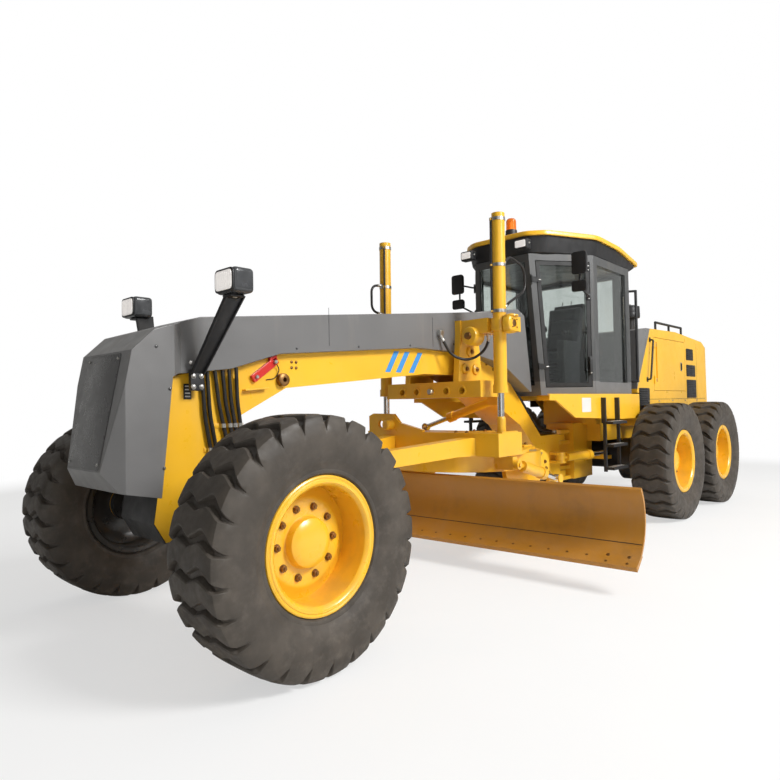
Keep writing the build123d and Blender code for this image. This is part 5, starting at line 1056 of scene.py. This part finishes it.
# back, y and z: the wiper's pivot and tip, and the seal beside the windscreen
WIPER_PIVOT, WIPER_TIP, SEAL_LOW, SEAL_HIGH = ((3.722, 0.150, 1.535), (3.672, 0.262, 2.270), (3.7285, 0.322, 1.575),
                                               (3.650, 0.284, 2.855))
SILL_Y, POD_Y, PEDAL_Y, ARMREST_Y = 0.8353, 0.3225, 0.150, 0.236
COLUMN_FOOT, COLUMN_HEAD, STEERING_WHEEL = at(3.990, 0, 1.540), at(4.180, 0, 2.200), at(4.190, 0, 2.235)
SEAT_MIDDLE, SEAT_LEAN = 4.690, 13.5


def door_spot(sign, run, z, depth):
    """A point at a distance forward of the door's rear post, a height, and a depth outside the door's face."""
    return Vector((back(DOOR_POST[0]) + run * DOOR_ALONG[0] + depth * DOOR_OUT[0],
                   sign * (DOOR_POST[1] + run * DOOR_ALONG[1] + depth * DOOR_OUT[1]), z))


def door_pieces():
    """Latch, pull bar and hinge bolts of the doors, and the mirrors with their glass."""
    for side_name, sign in SIDES:
        out = Vector((DOOR_OUT[0], sign * DOOR_OUT[1], 0))
        run = Vector((DOOR_ALONG[0], sign * DOOR_ALONG[1], 0))
        turn = Matrix((run, out * sign, Z)).transposed()

        def spots(*places):
            return [door_spot(sign, *place) for place in places]

        piece = Piece(f"door_trim_{side_name}", f"cab_door_{side_name}", "black", BLACK, STEEL)
        piece.block(door_spot(sign, 0.071, 1.765, 0.031), (0.034, 0.018, 0.150), 0.007, BLACK, 3, turn)
        for z in (1.690, 1.840):
            piece.block(door_spot(sign, 0.071, z, 0.016), (0.040, 0.034, 0.040), 0.008, BLACK, 3, turn)
        piece.rod(*spots((0.071, 1.690, 0.030), (0.071, 1.690, 0.038)), 0.011, STEEL)
        inner = spots((0.088, 1.72, -0.045), (0.088, 1.76, -0.090), (0.088, 2.10, -0.090), (0.088, 2.14, -0.045))
        piece.tube(smooth_path(inner, 6), 0.009, BLACK)
        for z in (1.755, 2.673):
            lean = DOOR_LEAN * (z - CAB_FLOOR) / (CAB_TOP - CAB_FLOOR)
            piece.nuts([door_spot(sign, DOOR_RUN + lean - inset, z, 0.0102) for inset in (0.086, 0.100)], out, 0.012,
                       0.005, STEEL, washer=False)
        piece.finish()
        mirrors = Piece(f"mirrors_{side_name}", f"cab_door_{side_name}", "black", BLACK, MIRROR, STEEL)
        mirrors.tube(route(spots((0.070, 2.810, 0.0003), (0.072, 2.810, 0.034), (0.260, 2.812, 0.190),
                                 (0.262, 2.560, 0.191)), [0.014, 0.028], 0.006), ARM_R, BLACK)
        mirrors.tube(spots((0.070, 2.500, 0.0003), (0.072, 2.500, 0.034), (0.262, 2.560, 0.191), (0.264, 2.576, 0.193)),
                     ARM_R, BLACK)
        for z in (2.810, 2.500):
            mirrors.block(door_spot(sign, 0.070, z, 0.006), (0.050, 0.012, 0.060), 0.004, BLACK, turn=turn)
            mirrors.nuts([door_spot(sign, 0.070, z + dz, 0.0122) for dz in (-0.018, 0.018)], out, 0.012, 0.006, STEEL,
                         washer=False)
        for z, shift, wide, tall, soft in ((2.815, 0.005, 0.164, 0.234, 0.034), (2.575, 0.0, 0.164, 0.114, 0.030)):
            spot = door_spot(sign, 0.275, z, 0.205) + Y * sign * shift
            for ahead, less, thick, bend, edge, material in (
                    (0.024, 0.0, 0.030, 1.0, 0.010, BLACK), (-0.006, 0.010, 0.014, 1.0, 0.002, BLACK),
                    (-0.0202, 0.024, 0.0012, 0.8, 0.0, MIRROR)):
                mirrors.panel(spot + X * ahead, Y, Z, wide - less, tall - less, -X * thick, soft * bend, material,
                              edge, 6)
        mirrors.finish(f"mirror_{side_name}")


def cab_trim():
    """Wipers, seals beside the windscreen and the pale plate on the cab's sill."""
    piece = Piece("cab_trim", "rear_frame", "black", SEAL, BLACK, LABEL)
    for _name, sign in SIDES:
        pivot, tip, low, high = (at(b, sign * y, z) for b, y, z in (WIPER_PIVOT, WIPER_TIP, SEAL_LOW, SEAL_HIGH))
        piece.tube([low, high], 0.007, SEAL, 8)
        piece.turned([(-0.012, 0), (-0.012, 0.022), (0.014, 0.020), (0.020, 0.012), (0.020, 0)], pivot, X, 24, BLACK)
        arm = tip - pivot
        piece.tube([pivot + X * 0.014, pivot + arm * 0.5 + X * 0.022, tip + X * 0.012], 0.0055, BLACK, 8)
        piece.tube([pivot + arm * 0.45 + X * 0.006 + Y * sign * 0.004, tip + arm * 0.12 + X * 0.006], 0.0075, SEAL, 8,
                   0.6)
    piece.plate(rounded([at(3.760, SILL_Y, 1.275), at(3.960, SILL_Y, 1.275), at(3.960, SILL_Y, 1.420),
                         at(3.760, SILL_Y, 1.420)], 0.008), Y * 0.0012, 0.0, LABEL)
    piece.finish()


def fittings_inside():
    """Steering wheel, column, control pods with levers, pedals, display and floor mat."""
    piece = Piece("controls", "rear_frame", "black", DARK, BLACK, DISPLAY, STEEL, MAT, LINING)
    along = (COLUMN_HEAD - COLUMN_FOOT).normalized()
    turn = along.to_track_quat("Z", "Y").to_matrix()
    piece.block(COLUMN_FOOT + along * 0.30, (0.150, 0.120, 0.62), 0.030, DARK, 4, turn)
    piece.block(COLUMN_HEAD - along * 0.06, (0.190, 0.150, 0.16), 0.040, DARK, 4, turn)
    piece.block(at(3.990, 0, 1.553), (0.190, 0.180, 0.100), 0.030, DARK, 4)
    wheel, axis = STEERING_WHEEL, Vector((-0.200, 0, 0.700)).normalized()
    side, up = perpendicular(axis)
    ring = [wheel + side * cosine + up * sine for _angle, cosine, sine in around(48, 0.190, 0)]
    piece.tube([*ring, ring[0]], 0.0155, DARK, 14)
    for angle in (0.0, 2.1, 4.2):
        spoke = side * math.cos(angle) + up * math.sin(angle)
        piece.tube([wheel + spoke * 0.030, wheel + spoke * 0.110 - axis * 0.006, wheel + spoke * 0.180], 0.012, DARK,
                   10, 0.5)
    piece.turned([(-0.060, 0), (-0.060, 0.045), (0.008, 0.048), (0.018, 0.040), (0.022, 0)], wheel, axis, 32, DARK)
    screen = tilted(-22)
    piece.block(wheel + Vector((0.165, 0, 0.045)), (0.030, 0.230, 0.130), 0.010, DARK, 3, screen)
    piece.block(wheel + Vector((0.150, 0, 0.048)), (0.004, 0.200, 0.105), 0.001, DISPLAY, turn=screen)
    for _name, sign in SIDES:
        piece.block(at(4.500, sign * POD_Y, 1.790), (0.395, 0.094, 0.578), 0.022, DARK, 4)
        piece.block(at(4.500, sign * POD_Y, 2.066), (0.330, 0.086, 0.026), 0.010, LINING, 3)
        for k in range(4):
            spot = at(4.385 + 0.060 * k, sign * POD_Y, 2.079)
            piece.rod(spot, spot + Vector((0.012, 0, 0.085)), 0.005, BLACK, 10)
            piece.turned([(0, 0), (0, 0.009), (0.010, 0.015), (0.028, 0.016), (0.040, 0.010), (0.043, 0)],
                         spot + Vector((0.012, 0, 0.082)), Z, 18, BLACK)
        piece.block(at(3.870, sign * PEDAL_Y, 1.560), (0.075, 0.095, 0.014), 0.005, MAT, turn=tilted(-38))
        piece.rod(at(3.880, sign * PEDAL_Y, 1.503), at(3.870, sign * PEDAL_Y, 1.556), 0.009, STEEL, 12)
    piece.block(at(4.250, 0, 1.5035), (0.95, 0.62, 0.006), 0.002, MAT)
    piece.finish("steering_console")


def apply_modifiers(piece):
    """Replace a piece's mesh by what its modifiers give."""
    graph = bpy.context.evaluated_depsgraph_get()
    graph.update()
    data = bpy.data.meshes.new_from_object(piece.evaluated_get(graph), depsgraph=graph)
    piece.modifiers.clear()
    piece.data = data


def inflate(piece, limit):
    """Swell a closed cloth skin under pressure, each point by at most this much."""
    rest = [v.co.copy() for v in piece.data.vertices]
    cloth = piece.modifiers.new("cloth", "CLOTH")
    cloth.settings.use_pressure = True
    cloth.settings.uniform_pressure_force = 4.0
    cloth.settings.effector_weights.gravity = 0.0
    cloth.settings.quality = 6
    cloth.settings.tension_stiffness = cloth.settings.compression_stiffness = 12
    cloth.point_cache.frame_start, cloth.point_cache.frame_end = 1, 16
    for step in range(1, 17):
        bpy.context.scene.frame_set(step)
    apply_modifiers(piece)
    bpy.context.scene.frame_set(1)
    for vert, start in zip(piece.data.vertices, rest):
        shift = vert.co - start
        if shift.length > limit:
            vert.co = start + shift.normalized() * limit


def cushion(name, centre, size, turn, seams):
    """One stuffed cushion: a crowned block that swells under cloth pressure, with seams pressed into its top."""
    crown = 0.020
    made = bmesh.new()
    place = Matrix.Translation(centre) @ turn.to_4x4() @ Matrix.Diagonal((*size, 1))
    bmesh.ops.create_cube(made, size=1, matrix=place)
    bmesh.ops.bevel(made, geom=list(made.edges), offset=min(size) * 0.34, segments=4, profile=0.6, affect="EDGES",
                    clamp_overlap=True)
    piece = bpy.data.objects.new(name, mesh_data(made, name, SEAT_CLOTH))
    bpy.context.scene.collection.objects.link(piece)
    remesh = piece.modifiers.new("remesh", "REMESH")
    remesh.mode, remesh.voxel_size = "VOXEL", 0.012
    apply_modifiers(piece)
    inflate(piece, crown)
    inverse, half = turn.transposed(), Vector(size) / 2
    for vert in piece.data.vertices:
        local = inverse @ (vert.co - centre)
        rim = abs(local.z) / half.z
        dome = max(0.0, 1 - (local.x / half.x) ** 2) * max(0.0, 1 - (local.y / half.y) ** 2)
        lift = crown * 0.8 * dome * (1.0 if local.z > 0 else -0.25) * min(1.0, rim)
        if local.z > half.z * 0.3:
            lift -= 0.011 * max(math.exp(-((getattr(local, axis) - seam) / 0.007) ** 2) for axis, seam in seams)
        vert.co += turn @ Vector((0, 0, lift))
        flat = Vector((local.x, local.y, 0))
        if flat.length > 1e-6:
            vert.co -= turn @ flat.normalized() * (0.004 * math.exp(-((rim - 0.05) / 0.10) ** 2))
    smooth = piece.modifiers.new("subdivision", "SUBSURF")
    smooth.levels = smooth.render_levels = 1
    apply_modifiers(piece)
    piece.data.polygons.foreach_set("use_smooth", [True] * len(piece.data.polygons))
    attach(piece, "rear_frame")


def operator_seat():
    """The suspension base with its bellows, arm rests, belt and back shell, and two stuffed cushions."""
    piece = Piece("seat_base", "rear_frame", "seat_fabric", DARK, BLACK, STEEL, RED)
    piece.block(at(SEAT_MIDDLE, 0, 1.530), (0.400, 0.380, 0.050), 0.012, BLACK, 3)
    for k in range(7):
        wide = 0.372 - (0.018 if k % 2 else 0.0)
        piece.block(at(SEAT_MIDDLE, 0, 1.575 + 0.034 * k), (wide + 0.01, wide, 0.033), 0.012, DARK, 3)
    piece.block(at(SEAT_MIDDLE, 0, 1.824), (0.460, 0.440, 0.030), 0.010, BLACK, 3)
    for _name, sign in SIDES:
        y = sign * ARMREST_Y
        piece.block(at(4.800, y, 2.085), (0.300, 0.026, 0.040), 0.012, DARK, 4)
        piece.rod(at(4.930, y, 2.085), at(4.950, sign * 0.226, 1.960), 0.012, BLACK, 14)
        piece.tube(smooth_path([at(4.900, y, 1.890), at(4.885, sign * 0.243, 1.950), at(4.850, sign * 0.225, 1.985)],
                               5), 0.012, BLACK, 10, 0.25)
        piece.rod(at(5.120, sign * 0.06, 2.600), at(5.128, sign * 0.06, 2.640), 0.007, STEEL, 12)
    piece.block(at(4.835, 0.205, 1.990), (0.050, 0.030, 0.060), 0.008, RED, 3)
    piece.block(at(5.115, 0, 2.300), (0.045, 0.400, 0.620), 0.020, DARK, 4, tilted(-SEAT_LEAN))
    piece.finish("seat")
    cushion("seat_cushion", at(4.700, 0, 1.893), (0.490, 0.470, 0.105), Matrix.Identity(3),
            (("y", 0.150), ("y", -0.150), ("x", -0.130)))
    sine, cosine = math.sin(math.radians(SEAT_LEAN)), math.cos(math.radians(SEAT_LEAN))
    facing = Matrix((Vector((-sine, 0, cosine)), -Y, Vector((cosine, 0, sine)))).transposed()
    cushion("seat_back", at(5.030, 0, 2.270), (0.600, 0.450, 0.100), facing,
            (("y", 0.140), ("y", -0.140), ("x", 0.100), ("x", -0.080)))


# ---------------------------------------------------------------- engine cover, tail and steps
HOOD_FACE = 0.7503
# vents in the engine cover's sides: back, middle height, length and height
VENTS = ((7.340, 2.025, 0.300, 0.165), (7.380, 1.795, 0.380, 0.165), (7.395, 1.535, 0.410, 0.260),
         (5.620, 1.425, 0.330, 0.220))
TAIL_LAMP_Y = 0.800
EXHAUST, PRE_CLEANER = at(6.250, -0.350, 0), at(6.250, 0.350, 0)
STEP_HEIGHTS = (0.660, 0.900, 1.140)
KINGPIN_Y, TANDEM_Y, TANDEM_FACE, TANDEM_AXLE_Z = 0.815, 0.670, 0.5597, 0.674


def louvre(piece, b, z, width, height, sign):
    """A dark rounded vent with bent blades on the cover's side."""
    piece.panel(at(b, sign * HOOD_FACE, z), X, Z, width, height, Y * sign * 0.004, 0.020, BLACK)
    count = max(2, round(height / 0.026))
    for k in range(count):
        level = z - height / 2 + height * (k + 0.5) / count
        piece.block(at(b, sign * (HOOD_FACE + 0.007), level), (width * 0.84, 0.010, 0.009), 0.003, BLACK,
                    turn=tilted(28 * sign, "X"))


def seam(piece, sign, b_from, b_to, z_from, z_to):
    """A dark seam on the cover's side, between two places behind the axle and two heights."""
    wall = sign * HOOD_FACE
    piece.plate([at(b_from, wall, z_from), at(b_to, wall, z_from), at(b_to, wall, z_to), at(b_from, wall, z_to)],
                Y * sign * 0.0006, 0.0, SEAL)


def hood_dressing():
    """Vents, grab handles, seams and bolts of the engine cover, and the lamps and bolts of the tail."""
    piece = Piece("hood_fittings", "rear_frame", "black", BLACK, SEAL, STEEL, RED_LENS, AMBER)
    for _name, sign in SIDES:
        for vent in VENTS:
            louvre(piece, *vent, sign)
        handle = [at(5.730, sign * 0.751, 1.640), at(5.730, sign * 0.795, 1.645), at(5.840, sign * 0.795, 2.140),
                  at(5.840, sign * 0.751, 2.145)]
        piece.tube(route(handle, [0.02, 0.02], 0.01), 0.012, BLACK, 14)
        for b, z in ((5.730, 1.640), (5.840, 2.145)):
            piece.block(at(b, sign * 0.7525, z), (0.050, 0.005, 0.060), 0.002, BLACK)
        seam(piece, sign, 7.640, 7.645, 1.352, 2.200)
        seam(piece, sign, 5.400, 8.000, 1.392, 1.397)
        piece.nuts([at(b, sign * HOOD_FACE, 1.372) for b in (5.74, 6.10, 6.60, 7.10, 7.60, 8.00)], Y * sign, 0.018,
                   0.008, STEEL)
    for k in range(2):
        piece.panel(at(6.772 + 0.55 * k, 0, 2.3105 - 0.034 * k), X, Y, 0.36, 0.70, Z * 0.003, 0.02, BLACK, 0.001)
    piece.turned([(0, 0), (0, 0.052), (0.024, 0.052), (0.030, 0.046), (0.034, 0)], at(7.60, 0.40, 2.2660), Z, 32,
                 BLACK)
    for _name, sign in SIDES:
        for z, tone in ((1.060, RED_LENS), (1.145, AMBER)):
            piece.block(at(8.2560, sign * TAIL_LAMP_Y, z), (0.012, 0.170, 0.078), 0.004, BLACK)
            piece.panel(at(8.2620, sign * TAIL_LAMP_Y, z), Y * sign, Z, 0.150, 0.062, -X * 0.010, 0.010, tone, 0.003)
        piece.panel(at(8.250, sign * 0.500, 1.060), Y * sign, Z, 0.100, 0.060, -X * 0.004, 0.006, RED_LENS, 0.001)
        piece.nuts([at(8.250, sign * y, 0.830) for y in (0.30, 0.40, 0.60, 0.68)], -X, 0.034, 0.018, STEEL)
    piece.finish()


def grille():
    """Fine mesh bars and a frame behind the rear slats."""
    piece = Piece("rear_grille", "rear_frame", "black", BLACK)
    for k in range(27):
        piece.block(at(8.058, -0.54 + k * 0.0415, 1.712), (0.004, 0.006, 0.70), 0.0, BLACK)
    for z in (1.352, 2.068):
        piece.block(at(8.050, 0, z), (0.016, 1.10, 0.020), 0.004, BLACK)
    piece.finish()


def hood_doors():
    """Pull recess, latch and hinge bolts of the engine doors."""
    for side_name, sign in SIDES:
        out = Y * sign
        piece = Piece(f"hood_door_fittings_{side_name}", f"hood_door_{side_name}", "black", BLACK, STEEL)
        piece.panel(at(6.980, sign * 0.7502, 1.840), X, Z, 0.070, 0.120, out * 0.003, 0.012, STEEL, 0.001)
        piece.block(at(6.980, sign * 0.7570, 1.840), (0.026, 0.012, 0.094), 0.006, BLACK, 3)
        piece.rod(at(6.980, sign * 0.7530, 1.800), at(6.980, sign * 0.7580, 1.800), 0.008, STEEL, 14)
        piece.nuts([at(b, sign * 0.7602, z + dz) for z in (1.640, 2.090) for b in (6.008, 6.024)
                    for dz in (0.012, -0.012)], out, 0.012, 0.005, STEEL, washer=False)
        piece.finish()


def stack_pieces():
    """The exhaust's cut end and heat shield, the pre-cleaner's bowl, and treads on the ladder steps."""
    piece = Piece("stack_fittings", "rear_frame", "black", IRON, BLACK, STEEL)
    for foot, profile, material in (
            (EXHAUST, [(2.320, 0.0625), (2.320, 0.084), (2.326, 0.086), (2.620, 0.086), (2.626, 0.084),
                       (2.626, 0.0625), (2.320, 0.0625)], BLACK),
            (EXHAUST, [(2.745, 0), (2.745, 0.0625), (2.7605, 0.0635), (2.7625, 0.060), (2.7605, 0)], IRON),
            (PRE_CLEANER, [(2.300, 0.0555), (2.300, 0.072), (2.312, 0.072), (2.318, 0.0555), (2.300, 0.0555)], BLACK),
            (PRE_CLEANER, [(2.498, 0), (2.498, 0.1205), (2.512, 0.1235), (2.560, 0.1235), (2.566, 0.1205),
                           (2.566, 0)], BLACK),
            (PRE_CLEANER, [(2.566, 0), (2.566, 0.1215), (2.625, 0.1215), (2.652, 0.108), (2.668, 0.070),
                           (2.672, 0)], BLACK)):
        piece.turned(profile, foot, Z, 40, material)
    for angle, cosine, sine in around(10, 0.0862, 0):
        piece.block(EXHAUST + Vector((cosine, sine, 2.473)), (0.003, 0.018, 0.220), 0.001, IRON,
                    turn=Matrix.Rotation(angle, 3, "Z"))
    piece.rod(PRE_CLEANER + Z * 2.668, PRE_CLEANER + Z * 2.690, 0.012, STEEL, 16)
    for _name, sign in SIDES:
        for z in STEP_HEIGHTS:
            for k in range(9):
                for y in (0.895, 0.925):
                    piece.turned([(0, 0), (0, 0.009), (0.003, 0.007), (0.003, 0)],
                                 at(4.235 + 0.036 * k, sign * y, z + 0.028), Z, 10, STEEL)
    piece.finish()


def axle_bolts():
    """Caps and bolts on the kingpins, and covers with bolts on the tandem cases."""
    for side_name, sign in SIDES:
        piece = Piece(f"kingpin_caps_{side_name}", f"steer_{side_name}", "yellow", YELLOW_CAST, STUD)
        for level, axis in ((0.8152, Z), (0.5048, -Z)):
            cap = at(0, sign * KINGPIN_Y, level)
            piece.turned([(0, 0), (0, 0.034), (0.008, 0.034), (0.011, 0.030), (0.011, 0)], cap, axis, 28, YELLOW_CAST)
            piece.nuts([cap + Vector((cosine, sine, 0)) + axis * 0.011 for _angle, cosine, sine in around(4, 0.022)],
                       axis, 0.010, 0.005, washer=False)
        piece.finish()
    piece = Piece("tandem_fittings", "rear_frame", "black", BLACK, STUD)
    for _name, sign in SIDES:
        for b in (5.62, 6.10, 6.46, 6.94):
            piece.block(at(b, sign * TANDEM_Y, 0.9225), (0.220, 0.150, 0.007), 0.003, BLACK)
            piece.nuts([at(b + dx, sign * TANDEM_Y + dy, 0.9260) for dx in (-0.090, 0.0, 0.090)
                        for dy in (-0.058, 0.058)], Z, 0.016, 0.009)
        for b in (5.511, 7.049):
            piece.nuts([at(b - cosine, sign * TANDEM_FACE, TANDEM_AXLE_Z + sine)
                        for _angle, cosine, sine in around(8, 0.218)], -Y * sign, 0.020, 0.010)
    piece.finish()


# ---------------------------------------------------------------- stage
CAMERA_AT = Vector((5.820, 3.669, 1.388))
CAMERA_YAW, CAMERA_PITCH, CAMERA_ROLL, CAMERA_LENS = 223.32, 1.35, -1.05, 28.35
LAMPS = (                       # name, place, target, size and power
    ("key", Vector((0.0, 11.0, 9.0)), Vector((0.3, 0.3, 1.2)), 4.0, 1900),
    ("fill", Vector((8.5, 8.0, 4.0)), Vector((2.0, 0.5, 1.2)), 6.0, 110),
    ("rim", Vector((-9.0, -7.0, 9.0)), Vector((-1.5, 0.0, 1.5)), 7.0, 170))
FLOOR_TONE, FLOOR_REACH = (0.86, 0.86, 0.85), 40.0
FLOOR_WHITE = 0.58              # share of plain white in the floor near the machine, as the camera sees it


def camera():
    """The camera, set by its place, heading, pitch and roll."""
    yaw, pitch, roll = (math.radians(a) for a in (CAMERA_YAW, CAMERA_PITCH, CAMERA_ROLL))
    ahead = Vector((math.cos(yaw) * math.cos(pitch), math.sin(yaw) * math.cos(pitch), math.sin(pitch)))
    right = ahead.cross(Z).normalized()
    up = right.cross(ahead)
    right, up = right * math.cos(roll) + up * math.sin(roll), up * math.cos(roll) - right * math.sin(roll)
    data = bpy.data.cameras.new("camera")
    data.lens, data.sensor_width, data.clip_end = CAMERA_LENS, 36.0, 200.0
    rig = bpy.data.objects.new("camera", data)
    rig.matrix_world = Matrix.Translation(CAMERA_AT) @ Matrix((right, up, -ahead)).transposed().to_4x4()
    bpy.context.scene.collection.objects.link(rig)
    bpy.context.scene.camera = rig


def lamp(name, place, target, size, power):
    """A soft square lamp."""
    data = bpy.data.lights.new(name, "AREA")
    data.size, data.energy = size, power
    rig = bpy.data.objects.new(name, data)
    rig.location = place
    rig.rotation_mode = "QUATERNION"
    rig.rotation_quaternion = (target - place).to_track_quat("-Z", "Y")
    bpy.context.scene.collection.objects.link(rig)


def world():
    """White surroundings, full to the camera and through glass; as light they are softer, and dim from ahead."""
    scene_world = bpy.data.worlds.new("studio")
    bpy.context.scene.world = scene_world
    n = Nodes(scene_world, "ShaderNodeOutputWorld")
    ahead = n.axis("X", n.add("ShaderNodeTexCoord").outputs["Generated"])
    tint = n.mix(n.ramp(ahead, 0.0, 0.9, 1.0, 0.25, smooth=False), (0.0, 0.0, 0.0), (1.0, 0.985, 0.96))
    light, white = n.add("ShaderNodeBackground"), n.add("ShaderNodeBackground")
    n.link(tint, light.inputs["Color"])
    light.inputs["Strength"].default_value = 0.40
    white.inputs["Color"].default_value = (1.0, 1.0, 1.0, 1.0)
    n.blend_shaders(n.seen_directly(), light.outputs["Background"], white.outputs["Background"])


def floor():
    """A pale floor that fades to white away from the machine and keeps its shadow."""
    n = material_nodes("studio_floor")
    length = n.add("ShaderNodeVectorMath", operation="LENGTH")
    n.link(n.place, length.inputs[0])
    far = n.ramp(length.outputs["Value"], 5.5, 11.0)
    diffuse, white = n.add("ShaderNodeBsdfDiffuse"), n.add("ShaderNodeEmission")
    n.link(n.mix(n.ramp(n.noise(1.5, 4), 0.3, 0.7), shade(FLOOR_TONE, 0.985), FLOOR_TONE), diffuse.inputs["Color"])
    white.inputs["Strength"].default_value = 1.0
    n.blend_shaders(n.times(n.seen_directly(), n.maths("MAXIMUM", far, FLOOR_WHITE)), diffuse.outputs["BSDF"],
                    white.outputs["Emission"])
    data = bpy.data.meshes.new("studio_floor")
    reach = FLOOR_REACH
    data.from_pydata([(-reach, -reach, 0), (reach, -reach, 0), (reach, reach, 0), (-reach, reach, 0)], [],
                     [(0, 1, 2, 3)])
    data.materials.append(n.owner)
    sheet = bpy.data.objects.new("studio_floor", data)
    bpy.context.scene.collection.objects.link(sheet)


dress_frame()
wheels()
headlamps()
roof()
roof_pieces()
hoses()
lift_lines()
nose_dressing()
beam_dressing()
leg_hoses()
saddle_dressing()
drawbar_dressing()
circle_dressing()
blade_dressing()
door_pieces()
cab_trim()
fittings_inside()
operator_seat()
hood_dressing()
grille()
hood_doors()
stack_pieces()
axle_bolts()
camera()
world()
for settings in LAMPS:
    lamp(*settings)
floor()
bpy.context.scene.view_settings.view_transform = "Standard"
